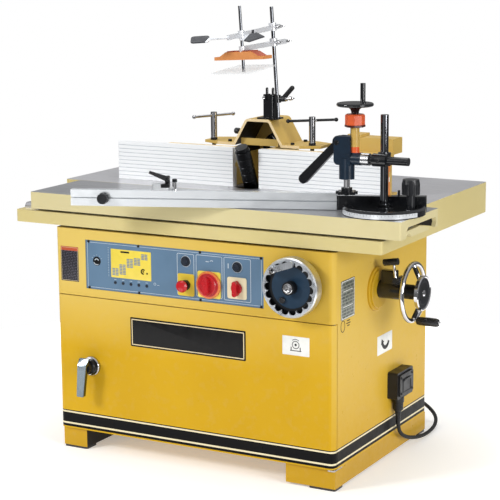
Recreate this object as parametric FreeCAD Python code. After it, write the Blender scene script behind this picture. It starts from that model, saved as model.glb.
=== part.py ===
import FreeCAD
import Part
import math
import os

# Spindle moulder with a tilting spindle and a sliding table, in millimetres.
# X runs to the operator's right, Y away from the operator and Z up, with the floor at zero.
# The pieces are modelled about the middle of the table and moved to the middle of the whole box at the end.

# Clearances
OVERRUN = 5.0
RUNNING_FIT = 0.05
MOVING_GAP = 0.3
SEAT_GAP = 0.3

# Table casting: a lowered bed in front and the main table behind it
TABLE_HEIGHT = 880.0
CASTING_LENGTH = 1359.0
CASTING_DEPTH = 881.0
CASTING_HEIGHT = 105.0
BED_THICKNESS = 41.0
TABLE_PLATE = 30.0
CASTING_SKIRT = 16.0
CASTING_CORNER = 8.0
BED_POCKET_DEPTH = 18.0
BEARER_MIDDLE = 110.0
BEARER_WIDTH = 36.0
SIDE_RIB_PITCH = 150.0
SIDE_RIB = 12.0

# Ring round the spindle
SPINDLE_HOLE_RADIUS = 100.0
RING_RADIUS = 112.0
RING_THICKNESS = 8.0
RING_HOLE_RADIUS = 52.0

# Sliding table and its rails
SLIDE_LENGTH = 1359.0
SLIDE_DEPTH = 296.0
SLIDE_SHIFT = 61.0
SLIDE_GAP = 8.0
SLIDE_REAR_GAP = 2.0
SLIDE_PLATE = 20.0
SLIDE_SKIRT = 14.0
SLIDE_CORNER = 6.0
RAIL_WIDTH = 40.0
RAIL_HEIGHT = 18.0
RAIL_FRONT_SETBACK = 60.0
RAIL_REAR_SETBACK = 60.0
RAIL_SHOULDER = 64.0
SHOULDER_SETBACK = 70.0
END_SLOT_FRONT = 46.0
END_SLOT_REAR = 16.0
END_SLOT_DROP = 24.0

# Cabinet
CABINET_WIDTH = 1042.0
CABINET_DEPTH = 746.0
CABINET_BOTTOM = 70.0
CABINET_CORNER = 20.0
SHEET = 3.0
SEAT_HEIGHT = 8.0
SEAT_INSET = 28.0
SEAT_WIDTH = 40.0
PAN_DEPTH = 22.0
PAN_SEAM = 3.0
DOOR_BOTTOM_GAP = 2.0
DOOR_TOP_DROP = 342.0
DOOR_WINDOW_MARGIN = 41.0
WINDOW_RAIL = 24.0
TOP_OPENING_LEFT = 345.0
TOP_OPENING_RIGHT = 210.0
TOP_OPENING_FRONT = 320.0
TOP_OPENING_BACK = 270.0
VENT_COUNT = 9
VENT_WIDTH = 170.0
VENT_HEIGHT = 8.0
VENT_PITCH = 22.0
VENT_MIDDLE_X = -250.0
VENT_MIDDLE_Z = 330.0

# Base skids and levelling pads
SKID_LEFT_INSET = 7.0
SKID_LEFT_WIDTH = 94.0
SKID_RIGHT_WIDTH = 175.0
SKID_END_INSET = 10.0
SKID_WALL = 6.0
PAD_LENGTH = 94.0
PAD_DEPTH = 60.0
PAD_HEIGHT = 7.0
PAD_CORNER = 8.0
PAD_STUD_RADIUS = 8.0

# Control panel
PANEL_LEFT = -399.5
PANEL_RIGHT = 275.0
PANEL_BOTTOM_DROP = 312.0
PANEL_HEIGHT = 166.0
PANEL_THICKNESS = 1.5
PANEL_LEDGE = 8.0
PANEL_GAP = 0.5
CONTROL_HOLE_RADIUS = 11.3
CONTROL_STEM_RADIUS = 11.0
CONTROL_STEM_LENGTH = 28.0
BEZEL_RADIUS = 16.0
BEZEL_HEIGHT = 5.0
STOP_X = -9.5
STOP_RISE = 49.5
STOP_PLATE = 62.0
STOP_PLATE_HEIGHT = 73.0
SWITCH_PLATE_THICKNESS = 2.0
SWITCH_PLATE_CORNER = 7.0
STOP_COLLAR_RADIUS = 17.0
STOP_COLLAR_HEIGHT = 14.0
STOP_HEAD_RADIUS = 20.0
STOP_HEAD_START = 22.0
STOP_HEAD_HEIGHT = 18.0
MAINS_X = 77.0
MAINS_RISE = 58.0
MAINS_PLATE = 80.0
MAINS_RING_RADIUS = 39.0
MAINS_RING_HEIGHT = 4.0
KNOB_PLAY = 0.4
MAINS_KNOB_RADIUS = 33.0
MAINS_KNOB_BASE = 12.0
MAINS_GRIP_WIDTH = 20.0
MAINS_GRIP_HEIGHT = 12.0
MAINS_GRIP_REACH = 29.0
SELECTOR_X = 179.0
SELECTOR_RISE = 56.5
SELECTOR_PLATE = 70.0
SELECTOR_KNOB_RADIUS = 19.0
SELECTOR_KNOB_BASE = 8.0
SELECTOR_GRIP_WIDTH = 16.0
SELECTOR_GRIP_HEIGHT = 12.0
SELECTOR_GRIP_REACH = 25.0
START_X = -10.0
START_RISE = 127.0
RESET_X = 180.0
RESET_RISE = 125.0
BUTTON_STANDOFF = 9.0

# Door pivots and handle
PIVOT_SETBACK_X = 6.0
PIVOT_SETBACK_Y = 7.5
PIVOT_PIN_RADIUS = 3.0
PIVOT_BUSH_WIDTH = 8.0
PIVOT_BUSH_HEIGHT = 20.0
PIVOT_BRACKET_WIDTH = 26.0
PIVOT_BRACKET_DEPTH = 58.0
PIVOT_BRACKET_THICKNESS = 4.0
PIVOT_BRACKET_SETBACK = 4.0
HANDLE_X = -383.0
HANDLE_Z = 303.0
HANDLE_ROSE_RADIUS = 20.0
HANDLE_ROSE_HEIGHT = 10.0
HANDLE_SPINDLE_RADIUS = 8.0
HANDLE_ARM_LENGTH = 88.0
HANDLE_ARM_ROOT = 34.0
HANDLE_ARM_TIP = 26.0
HANDLE_ARM_THICKNESS = 10.0
HANDLE_ARM_STANDOFF = 18.0
HANDLE_ANGLE = 240.0
LATCH_WIDTH = 24.0
LATCH_THICKNESS = 4.0
LATCH_SETBACK = 1.0

# Rise and fall handwheel on the fascia
LIFT_X = 395.0
LIFT_DROP = 223.0
LIFT_STANDOFF = 20.0
LIFT_RIM_RADIUS = 95.0
LIFT_RIM_DEPTH = 41.0
LIFT_RIM_WALL = 7.0
LIFT_LIP_RADIUS = 73.0
LIFT_LIP_THICKNESS = 6.0
LIFT_SCALLOP_COUNT = 18
LIFT_SCALLOP_RADIUS = 12.0
LIFT_DISC_BACK = 18.0
LIFT_DISC_THICKNESS = 9.0
LIFT_HUB_RADIUS = 21.0
LIFT_HUB_FRONT = 46.0
LIFT_SHAFT_RADIUS = 9.0
LIFT_SHAFT_LENGTH = 120.0
LIFT_COUPLING_RADIUS = 22.0
LIFT_COUPLING_LENGTH = 24.0
LIFT_BEARING_RADIUS = 34.0
LIFT_BEARING_LENGTH = 40.0
LIFT_BEARING_FLANGE = 8.0
LIFT_BEARING_FLANGE_RADIUS = 52.0
LIFT_HANDLE_LENGTH = 76.0
LIFT_HANDLE_WIDTH = 20.0
LIFT_HANDLE_THICKNESS = 10.0
LIFT_HANDLE_CLEAR = 1.5
LIFT_HANDLE_PIVOT_X = -52.0
LIFT_HANDLE_PIVOT_Z = 55.0
LIFT_HANDLE_ANGLE = 19.1
LIFT_EAR = 5.0

# Tilt handwheel on the right side
TILT_Y = -126.0
TILT_DROP = 283.0
TILT_BOSS_RADIUS = 73.0
TILT_BOSS_HEIGHT = 14.0
TILT_HOUSING_RADIUS = 29.0
TILT_HOUSING_END = 90.0
TILT_SHAFT_RADIUS = 12.0
TILT_HUB_RADIUS = 24.0
TILT_HUB_START = 91.0
TILT_RIM_PLANE = 128.0
TILT_RIM_RADIUS = 92.0
TILT_RIM_SECTION = 8.0
TILT_ARM_COUNT = 2
TILT_ARM_RADIUS = 7.5
TILT_ARM_ROOT = 26.0
TILT_HUB_END = 148.0
TILT_DIAL_RADIUS = 57.0
TILT_DIAL_HEIGHT = 20.0
CRANK_PIN_RADIUS = 5.0
GRIP_FIT = 0.1
CRANK_GRIP_RADIUS = 10.5
CRANK_GRIP_LENGTH = 78.0
CRANK_GRIP_START = 14.0
LOCK_BLOCK_START = 24.0
LOCK_BLOCK_LENGTH = 46.0
LOCK_BLOCK_WIDTH = 34.0
LOCK_BLOCK_RISE = 66.0
LOCK_BLOCK_CORNER = 8.0
LOCK_LUG_MIDDLE = 80.5
LOCK_LUG_LENGTH = 18.0
LOCK_LUG_DEPTH = 36.0
LOCK_LUG_RISE = 48.0
LOCK_LUG_CORNER = 7.0
LOCK_PIN_RISE = 38.0
LOCK_BORE_RADIUS = 5.0
LOCK_HUB_RADIUS = 9.0
LOCK_HUB_LENGTH = 20.0
LOCK_LEVER_LENGTH = 62.0
LOCK_LEVER_RADIUS = 5.0
LOCK_LEVER_ANGLE = -9.0
LOCK_GRIP_LENGTH = 50.0
LOCK_GRIP_OFFSET = 8.0
LOCK_GRIP_RADIUS = 11.0

# Spindle unit, tilted forward about a line across the table surface
PIVOT_Y = -12.0
REST_TILT = 26.0
SPINDLE_RADIUS = 20.0
SPINDLE_NOSE = 160.0
SPINDLE_TAIL = 402.0
COLLAR_RADIUS = 26.0
COLLAR_BOTTOM = 22.0
COLLAR_TOP = 146.0
COLLAR_COUNT = 6
COLLAR_GROOVE = 1.0
SPINDLE_NUT_LAP = 2.0
QUILL_RADIUS = 48.0
QUILL_TOP = 96.0
QUILL_BOTTOM = 340.0
SLEEVE_RADIUS = 62.0
SLEEVE_TOP = 100.0
SLEEVE_BOTTOM = 268.0
SLEEVE_BLOCK_HALF_DEPTH = 34.0
CARRIAGE_PLATE = 15.0
CARRIAGE_HALF_DEPTH = 66.0
CARRIAGE_RIGHT = 70.0
MOTOR_X = -215.0
MOTOR_RADIUS = 78.0
MOTOR_HEIGHT = 125.0
MOTOR_FIN_COUNT = 5
MOTOR_FIN_DEPTH = 5.0
MOTOR_FIN_WIDTH = 12.0
MOTOR_SHAFT_RADIUS = 14.0
PULLEY_GAP = 6.0
PULLEY_HEIGHT = 38.0
PULLEY_RIM = 4.0
PULLEY_FLANGE = 6.0
SPINDLE_PULLEY_RADIUS = 36.0
MOTOR_PULLEY_RADIUS = 56.0
BELT_THICKNESS = 4.0
CHEEK_INSIDE = 74.0
CHEEK_OUTSIDE = 91.5
CHEEK_HALF_DEPTH = 62.0
CHEEK_BOTTOM = 262.0
TRUNNION_THICKNESS = 20.0
TRUNNION_INNER = 170.0
TRUNNION_OUTER = 204.0
TRUNNION_HALF_ANGLE = 80.0
SHOE_DEPTH = 20.0
SHOE_HALF_ANGLE = 13.0
GEAR_MODULE = 3.0
PINION_TEETH = 12
PINION_LENGTH = 24.0
PINION_BOSS_RADIUS = 30.0
SECTOR_DEPTH = 30.0
SECTOR_FRONT_ANGLE = 57.0
SECTOR_BACK_ANGLE = 15.0
TOOTH_SHARE = 0.40
ADDENDUM_SHARE = 0.8
DEDENDUM_SHARE = 1.15
FLANK_ANGLE = 20.0

# Fence plates
FENCE_FACE = -42.0
FENCE_PLATE_THICKNESS = 26.0
FENCE_PLATE_HEIGHT = 133.0
FENCE_TABLE_GAP = 0.3
FENCE_LEFT_START = -522.0
FENCE_LEFT_END = -57.0
FENCE_RIGHT_START = 43.0
FENCE_RIGHT_END = 515.0
FENCE_GROOVE_COUNT = 9
FENCE_GROOVE_WIDTH = 3.0
FENCE_GROOVE_DEPTH = 1.6
FENCE_KEYWAY_WIDTH = 14.0
FENCE_KEYWAY_DEPTH = 9.0
FENCE_KEY_SHARE = 0.55

# Fence hood: arms behind the plates, chamber cheeks, arch with flanges and dust outlet
ARM_THICKNESS = 18.0
ARM_OUTER_LEFT = -330.0
ARM_OUTER_RIGHT = 515.0
CHEEK_WALL = 8.0
CHAMBER_LEFT = -67.0
CHAMBER_RIGHT = 62.0
HOOD_FRONT = 28.0
HOOD_BACK = 178.0
HOOD_MIDDLE = 2.0
HOOD_RISE = 227.0
HOOD_TOP_HALF = 46.0
HOOD_BOTTOM_HALF = 95.0
HOOD_WALL = 9.0
HOOD_CORNER = 18.0
FLANGE_THICKNESS = 9.0
FLANGE_FRONT_HALF = 158.0
FLANGE_HALF = 226.0
FLANGE_TAPER = 30.0
HOOD_TIE_HEIGHT = 24.0
HOOD_TIE_SETBACK = 22.0
OUTLET_RADIUS = 60.0
OUTLET_WALL = 4.0
OUTLET_LENGTH = 45.0
OUTLET_RISE = 110.0
PEDESTAL_LEFT = 345.0
PEDESTAL_RIGHT = 510.0
PEDESTAL_FRONT = 22.0
PEDESTAL_BACK = 96.0
PEDESTAL_RISE = 194.0
PEDESTAL_STEP = 9.0
PEDESTAL_STEP_X = 392.0
PEDESTAL_WALL = 8.0

# T-handle clamp screws
SCREW_X = 192.0
SCREW_Y = 66.0
SCREW_RADIUS = 7.0
SCREW_COLLAR_RADIUS = 12.0
SCREW_COLLAR_HEIGHT = 8.0
SCREW_POST_RADIUS = 11.0
SCREW_RISE = 240.0
TBAR_RADIUS = 4.5
TBAR_HALF_LENGTH = 84.0
TBAR_BALL_RADIUS = 7.0
TBAR_DROP = 12.0
TBAR_LEFT_ANGLE = 66.0
TBAR_RIGHT_ANGLE = 41.0

# Guard on the hood: holder, post, arms, rod, shoe and clear plate
GUARD_LEAN = 3.8
POST_X = 66.0
POST_Y = 60.0
POST_RADIUS = 6.0
POST_HEIGHT = 380.0
HOLDER_X = 34.0
HOLDER_WIDTH = 38.0
HOLDER_DEPTH = 34.0
HOLDER_HEIGHT = 84.0
HOLDER_PRONG = 20.0
HOLDER_SLOT = 13.0
HOLDER_BASE_LENGTH = 78.0
HOLDER_BASE_DEPTH = 54.0
HOLDER_BASE_HEIGHT = 5.0
HOLDER_CLAMP_RADIUS = 13.0
HOLDER_CLAMP_HEIGHT = 26.0
HOLDER_CLAMP_BOTTOM = 56.0
HOLDER_LEVER_PIN = 12.0
HOLDER_LEVER_PIN_RADIUS = 5.0
HOLDER_LEVER_HUB = 10.0
HOLDER_LEVER_HUB_LENGTH = 18.0
HOLDER_LEVER_LENGTH = 52.0
HOLDER_LEVER_RADIUS = 8.0
HOLDER_LEVER_ANGLE = 47.0
UPPER_ARM_HEIGHT = 313.0
UPPER_ARM_REACH = 188.0
UPPER_ARM_DROP = 24.0
UPPER_ARM_WIDTH = 12.0
UPPER_ARM_THICKNESS = 16.0
ARM_DIRECTION = 245.0
ARM_CLAMP_RADIUS = 13.0
ARM_CLAMP_HEIGHT = 26.0
ARM_TAIL = 50.0
LOWER_ARM_HEIGHT = 261.0
LOWER_ARM_DROP = 12.5
ROD_REACH = 132.0
ROD_RADIUS = 5.0
ROD_BOTTOM = 172.0
ROD_TOP = 391.0
ROD_CLAMP_RADIUS = 11.0
PAD_ARM_RADIUS = 4.0
PAD_ARM_LENGTH = 66.0
PAD_ARM_ANGLE = 205.0
PADDLE_LENGTH = 62.0
PADDLE_WIDTH = 46.0
PADDLE_THICKNESS = 4.0
PADDLE_PITCH = 25.0
LEAF_LENGTH = 88.0
LEAF_WIDTH = 62.0
SHOE_LENGTH = 218.0
SHOE_WIDTH = 44.0
SHOE_TURN = -12.0
SHOE_BOTTOM = 213.0
SHOE_HEIGHT = 27.0
SHOE_FOOT_SHARE = 0.42
SHOE_TOP_SHARE = 0.26
SHOE_SLOPE_SHARE = 0.40
CLEAR_LENGTH = 194.0
CLEAR_DEPTH = 130.0
CLEAR_THICKNESS = 4.0
CLEAR_RISE = 180.0
CLEAR_TURN = -20.0
CLEAR_PITCH = 8.0

# Mitre gauge on the sliding table
MITRE_X = 630.0
MITRE_Y = -316.0
MITRE_ANGLE = 20.4
MITRE_RADIUS = 128.0
MITRE_HEIGHT = 24.0
MITRE_FLOOR = 9.0
MITRE_RIM = 12.0
MITRE_PIVOT_RADIUS = 16.0
MITRE_PIVOT_DEPTH = 9.0
MITRE_HUB_RADIUS = 24.0
BAR_OFFSET = 42.0
BAR_THICKNESS = 30.0
BAR_LEFT = 150.0
BAR_RIGHT = 128.0
BAR_HEIGHT = 45.0
BAR_LIFT = 2.0
MITRE_FENCE_LENGTH = 850.0
MITRE_FENCE_HEIGHT = 52.0
MITRE_SLOT_WIDTH = 10.0
MITRE_SLOT_NECK = 4.0
MITRE_SLOT_DEPTH = 9.0
MITRE_SLOT_LIP = 3.0
LOCK_KNOB_REACH = 83.0
LOCK_KNOB_TURN = -9.0
LOCK_KNOB_OUTER = 28.0
LOCK_KNOB_TALL = 46.0
LOCK_KNOB_FLUTES = 12
LOCK_KNOB_FLUTE_RADIUS = 4.0
LOCK_STEM_RADIUS = 13.0
LOCK_STEM_HEIGHT = 54.0
LOCK_WASHER_RADIUS = 17.0
LOCK_WASHER_HEIGHT = 5.0
INDEX_PIN_REACH = 42.0
INDEX_PIN_RADIUS = 4.0
INDEX_PIN_HEIGHT = 17.0
END_KNOB_REACH = 892.0
END_KNOB_RADIUS = 18.0
END_KNOB_LENGTH = 26.0
END_KNOB_FLUTES = 10
STOP_REACH = 708.0
STOP_LENGTH = 52.0
STOP_BLOCK_HEIGHT = 20.0
STOP_POST_HEIGHT = 44.0
STOP_POST_WIDTH = 14.0
STOP_PIN_RADIUS = 4.0
STOP_ARM_LENGTH = 60.0
STOP_ARM_THICKNESS = 8.0
STOP_ARM_ANGLE = 160.0
STOP_ARM_HALF = 8.0

# Hold-down clamp on the mitre gauge
COLUMN_RADIUS = 12.5
COLUMN_RISE = 305.0
COLUMN_FOOT_RADIUS = 19.0
COLUMN_FOOT_HEIGHT = 12.0
CROSS_BAR_RISE = 169.0
CROSS_OFFSET = 31.0
CROSS_BLOCK_RADIUS = 20.0
CROSS_BLOCK_HEIGHT = 40.0
CROSS_BLOCK_LENGTH = 46.0
CROSS_LINK_HEIGHT = 20.0
CROSS_BAR_RADIUS = 12.5
CROSS_BAR_RIGHT = 94.0
CROSS_BAR_LEFT = 34.0
HEAD_REACH = 112.0
HEAD_RADIUS = 24.0
HEAD_BOTTOM_RISE = 105.0
HEAD_TOP_RISE = 238.0
HEAD_CHEEK_HALF = 20.0
HEAD_CHEEK_REACH = 36.0
HEAD_LUG_CORNER = 14.0
HEAD_BRANCH_RADIUS = 20.0
HEAD_RING_RADIUS = 19.0
HEAD_RING_LENGTH = 26.0
HEAD_PIVOT_X = 26.0
HEAD_PIVOT_RISE = 218.0
HEAD_PIVOT_RADIUS = 6.0
RISER_OFFSET = 27.0
RISER_RADIUS = 14.0
RISER_RISE = 266.0
CAP_RADIUS = 28.0
CAP_HEIGHT = 40.0
CAP_SIDES = 8
CLAMP_LEVER_LENGTH = 172.0
CLAMP_LEVER_ROOT = 20.0
CLAMP_LEVER_NECK = 12.0
CLAMP_LEVER_TIP = 15.0
CLAMP_LEVER_THICKNESS = 16.0
CLAMP_LEVER_ANGLE = 225.0
CLAMP_SLOT = 17.0
PLUNGER_RADIUS = 10.0
PLUNGER_TOP_RISE = 150.0
PLUNGER_FOOT_RADIUS = 17.0
PLUNGER_FOOT_HEIGHT = 20.0
PLUNGER_STAR_RADIUS = 34.0
PLUNGER_STAR_HEIGHT = 9.0
PLUNGER_STAR_NOTCHES = 8
PLUNGER_FOOT_RISE = 58.0
WHEEL_HUB_RADIUS = 10.0
WHEEL_RISE = 22.0
WHEEL_RADIUS = 57.0
WHEEL_THICKNESS = 12.0
WHEEL_HANDLE_REACH = 46.0
WHEEL_HANDLE_TURN = 84.0
WHEEL_HANDLE_RADIUS = 8.0
WHEEL_HANDLE_HEIGHT = 62.0

# Socket box, plug, lead and gland
SOCKET_FRONT = -33.0
SOCKET_BACK = 95.0
SOCKET_BOTTOM = 200.0
SOCKET_TOP = 292.0
SOCKET_DEPTH = 37.0
SOCKET_CORNER = 8.0
SOCKET_LID = 6.0
SOCKET_LID_MARGIN = 9.0
SOCKET_MOUTH_RADIUS = 20.0
SOCKET_MOUTH_LENGTH = 16.0
PLUG_RADIUS = 17.0
PLUG_LENGTH = 50.0
PLUG_Y = 12.0
GLAND_X = 366.0
GLAND_Z = 108.0
GLAND_RADIUS = 15.0
GLAND_LENGTH = 24.0
GLAND_NUT_RADIUS = 19.0
GLAND_NUT_LENGTH = 9.0
LEAD_RADIUS = 6.5
LEAD_ARC_SHARE = 0.45

# Profiles of turned pieces, as shares of radius and height from the base outwards
MUSHROOM_SHARES = [(0.0, 0.0), (0.86, 0.0), (1.0, 0.28), (1.0, 0.5), (0.78, 0.88), (0.0, 1.0)]
BUTTON_SHARES = [(0.0, 0.0), (1.0, 0.0), (1.0, 0.9), (0.92, 1.0), (0.0, 1.0)]
KNOB_BASE_SHARES = [(0.0, 0.0), (1.0, 0.0), (1.0, 0.7), (0.9, 1.0), (0.0, 1.0)]
ROSE_SHARES = [(0.0, 0.0), (1.0, 0.0), (1.0, 0.35), (0.62, 1.0), (0.0, 1.0)]
GRIP_SHARES = [(0.0, 0.0), (0.8, 0.0), (0.95, 0.06), (1.0, 0.35), (0.94, 0.8), (0.98, 0.95), (0.8, 1.0),
               (0.0, 1.0)]
BOSS_SHARES = [(0.0, 0.0), (1.0, 0.0), (1.0, 0.45), (0.97, 0.55), (0.88, 0.55), (0.88, 0.9),
               (0.85, 1.0), (0.0, 1.0)]
DIAL_SHARES = [(0.0, 0.0), (0.8, 0.0), (1.0, 0.35), (1.0, 0.85), (0.93, 1.0), (0.86, 0.85), (0.0, 0.85)]
WHEEL_SHARES = [(0.0, 0.0), (0.25, 0.0), (0.8, 0.3), (0.95, 0.2), (1.0, 0.5), (0.95, 0.9), (0.8, 1.0),
                (0.3, 0.6), (0.0, 0.6)]
PLUG_SHARES = [(0.0, 0.0), (0.5, 0.0), (0.62, 0.3), (1.0, 0.45), (1.0, 1.0), (0.0, 1.0)]
MOTOR_CAP_SHARE = 0.12
RAIL_SHARES = [(-0.5, 0.0), (0.5, 0.0), (0.5, 0.45), (0.3, 1.0), (-0.3, 1.0), (-0.5, 0.45)]
END_SLOT_SHARES = [(0.0, 0.29), (0.05, 0.0), (0.97, 0.0), (1.0, 0.45), (0.955, 1.0), (0.43, 0.23)]

# Route of the lead from the plug to the gland, point by point
LEAD_POINTS = [
    (541.0, 12.0, 134.0),
    (541.0, 12.0, 98.0),
    (542.0, 32.0, 66.0),
    (545.0, 76.0, 42.0),
    (549.0, 138.0, 23.0),
    (552.0, 210.0, 12.0),
    (551.0, 282.0, 11.0),
    (543.0, 346.0, 18.0),
    (518.0, 400.0, 32.0),
    (472.0, 428.0, 54.0),
    (422.0, 426.0, 80.0),
    (382.0, 402.0, 100.0),
    (366.0, 366.0, 108.0),
    (366.0, 329.5, 108.0),
]

# Planes worked out from the driving dimensions
X_AXIS = FreeCAD.Vector(1, 0, 0)
Y_AXIS = FreeCAD.Vector(0, 1, 0)
Z_AXIS = FreeCAD.Vector(0, 0, 1)
FRONT = -CASTING_DEPTH / 2
BACK = CASTING_DEPTH / 2
CASTING_LEFT = -CASTING_LENGTH / 2
CASTING_RIGHT = CASTING_LENGTH / 2
STEP = FRONT + SLIDE_DEPTH
CASTING_BOTTOM = TABLE_HEIGHT - CASTING_HEIGHT
BED_TOP = CASTING_BOTTOM + BED_THICKNESS
SLIDE_BOTTOM = BED_TOP + SLIDE_GAP
SLIDE_LEFT = SLIDE_SHIFT - SLIDE_LENGTH / 2
SLIDE_RIGHT = SLIDE_SHIFT + SLIDE_LENGTH / 2
SLIDE_REAR = STEP - SLIDE_REAR_GAP
CABINET_TOP = CASTING_BOTTOM - SEAT_HEIGHT
CABINET_LEFT = -CABINET_WIDTH / 2
CABINET_RIGHT = CABINET_WIDTH / 2
CABINET_REAR = FRONT + CABINET_DEPTH
SHELL_FRONT = FRONT + PAN_DEPTH + PAN_SEAM
DOOR_TOP = TABLE_HEIGHT - DOOR_TOP_DROP
FASCIA_BOTTOM = DOOR_TOP + PAN_SEAM
DOOR_BOTTOM = CABINET_BOTTOM + DOOR_BOTTOM_GAP
HINGE_X = CABINET_RIGHT - PIVOT_SETBACK_X
HINGE_Y = FRONT + PAN_DEPTH - PIVOT_SETBACK_Y
PANEL_BOTTOM = TABLE_HEIGHT - PANEL_BOTTOM_DROP
PANEL_TOP = PANEL_BOTTOM + PANEL_HEIGHT
PANEL_BACK = FRONT + SHEET
PANEL_FRONT = PANEL_BACK - PANEL_THICKNESS
STOP_Z = PANEL_BOTTOM + STOP_RISE
MAINS_Z = PANEL_BOTTOM + MAINS_RISE
SELECTOR_Z = PANEL_BOTTOM + SELECTOR_RISE
START_Z = PANEL_BOTTOM + START_RISE
RESET_Z = PANEL_BOTTOM + RESET_RISE
LIFT_Z = TABLE_HEIGHT - LIFT_DROP
TILT_Z = TABLE_HEIGHT - TILT_DROP
RAIL_LINES = [FRONT + RAIL_FRONT_SETBACK, STEP - RAIL_REAR_SETBACK]
SPINDLE_PIVOT = FreeCAD.Vector(0, PIVOT_Y, TABLE_HEIGHT)
SPINDLE_NUT_RADIUS = SPINDLE_RADIUS + SPINDLE_NUT_LAP
PINION_RADIUS = GEAR_MODULE * PINION_TEETH / 2
PINION_Y_FROM_PIVOT = TILT_Y - PIVOT_Y
GEAR_CENTRES = math.hypot(PINION_Y_FROM_PIVOT, TILT_DROP)
SECTOR_RADIUS = GEAR_CENTRES - PINION_RADIUS
MESH_ANGLE = math.degrees(math.atan2(PINION_Y_FROM_PIVOT, TILT_DROP))
FENCE_BOTTOM = TABLE_HEIGHT + FENCE_TABLE_GAP
FENCE_TOP = FENCE_BOTTOM + FENCE_PLATE_HEIGHT
FENCE_BACK = FENCE_FACE + FENCE_PLATE_THICKNESS
FLANGE_TOP = FENCE_TOP + SEAT_GAP + FLANGE_THICKNESS
HOOD_ROOF = TABLE_HEIGHT + HOOD_RISE
OUTLET_Z = TABLE_HEIGHT + OUTLET_RISE
PEDESTAL_TOP = TABLE_HEIGHT + PEDESTAL_RISE
SCREW_TOP = TABLE_HEIGHT + SCREW_RISE
GUARD_BASE = FreeCAD.Vector(POST_X, POST_Y, HOOD_ROOF)
CLAMP_Y = MITRE_Y - CROSS_OFFSET
HEAD_X = MITRE_X - HEAD_REACH
COLUMN_TOP = TABLE_HEIGHT + COLUMN_RISE
BAR_Z = TABLE_HEIGHT + CROSS_BAR_RISE
HEAD_BOTTOM = TABLE_HEIGHT + HEAD_BOTTOM_RISE
HEAD_TOP = TABLE_HEIGHT + HEAD_TOP_RISE
HEAD_PIVOT_Z = TABLE_HEIGHT + HEAD_PIVOT_RISE
RISER_TOP = TABLE_HEIGHT + RISER_RISE
PLUNGER_TOP = TABLE_HEIGHT + PLUNGER_TOP_RISE
PLUNGER_BOTTOM = TABLE_HEIGHT + PLUNGER_FOOT_RISE

pieces = {}


def point(x, y, z):
    return FreeCAD.Vector(x, y, z)


def block(x0, x1, y0, y1, z0, z1):
    """Box between six planes."""
    return Part.makeBox(x1 - x0, y1 - y0, z1 - z0, point(x0, y0, z0))


def rod(start, axis, radius, length):
    """Round bar from a start point along an axis."""
    return Part.makeCylinder(radius, length, start, axis)


def tube(start, axis, radius, bore, length):
    """Round bar with a bore right through."""
    hole = rod(start - axis * OVERRUN, axis, bore, length + 2 * OVERRUN)
    return rod(start, axis, radius, length).cut(hole)


def bar_between(start, end, radius):
    """Round bar from one point to another."""
    span = end - start
    return rod(start, span, radius, span.Length)


def prism(corners, sweep):
    """Straight-sided outline swept along a vector."""
    wire = Part.makePolygon(corners + corners[:1])
    return Part.Face(wire).extrude(sweep)


def turned(outline, base, axis):
    """Solid of revolution from (radius, height) pairs, standing on a base point along an axis."""
    corners = [point(radius, 0, height) for radius, height in outline]
    face = Part.Face(Part.makePolygon(corners + corners[:1]))
    solid = face.revolve(point(0, 0, 0), Z_AXIS, 360)
    solid.Placement = FreeCAD.Placement(base, FreeCAD.Rotation(Z_AXIS, axis))
    return solid


def turned_shares(shares, radius, height, base, axis):
    """Solid of revolution whose outline is given as shares of a radius and a height."""
    outline = [(radius * across, height * along) for across, along in shares]
    return turned(outline, base, axis)


def joined(shapes):
    """One solid made of shapes that meet."""
    whole = shapes[0]
    for shape in shapes[1:]:
        whole = whole.fuse(shape)
    return whole.removeSplitter()


def without(shape, cutters):
    for cutter in cutters:
        shape = shape.cut(cutter)
    return shape


def rounded(shape, radius, axis, chosen):
    """Rounds the edges along an axis whose middle point is chosen."""
    edges = []
    for edge in shape.Edges:
        if edge.Curve.TypeId != "Part::GeomLine":
            continue
        along = edge.tangentAt(edge.FirstParameter)
        if abs(along.dot(axis)) < 1 - Part.Precision.confusion():
            continue
        if chosen(edge.CenterOfMass):
            edges.append(edge)
    return shape.makeFillet(radius, edges)


def all_edges(middle):
    return True


def spun(shape, centre, axis, angle):
    """Copy of a shape turned about an axis."""
    copy = shape.copy()
    copy.rotate(centre, axis, angle)
    return copy


def ring_of(shape, centre, axis, count):
    """Copies of a shape spaced evenly round an axis."""
    return [spun(shape, centre, axis, 360 * index / count) for index in range(count)]


def add(name, *shapes):
    pieces[name] = Part.makeCompound(list(shapes)) if len(shapes) > 1 else shapes[0]


def tilted(shape):
    """Turns a piece of the upright spindle unit to the tilt in use."""
    return spun(shape, SPINDLE_PIVOT, X_AXIS, REST_TILT)


def on_spindle(x, depth, rise):
    """Point of the upright spindle unit, measured from where the spindle crosses the table."""
    return SPINDLE_PIVOT + point(x, depth, rise)


def leaned(shape):
    """Leans a piece of the guard with its post."""
    return spun(shape, GUARD_BASE, Y_AXIS, -GUARD_LEAN)


def on_guard(x, y, rise):
    """Point of the upright guard, by its rise above the hood."""
    return point(x, y, HOOD_ROOF + rise)


def on_mitre(along, across, rise):
    """Point of the mitre gauge before it is swung: along the fence, behind it, and above the table."""
    return point(MITRE_X + along, MITRE_Y + across, TABLE_HEIGHT + rise)


def swung(shape):
    """Swings a piece of the mitre gauge to the angle in use."""
    return spun(shape, point(MITRE_X, MITRE_Y, TABLE_HEIGHT), Z_AXIS, MITRE_ANGLE)


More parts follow.
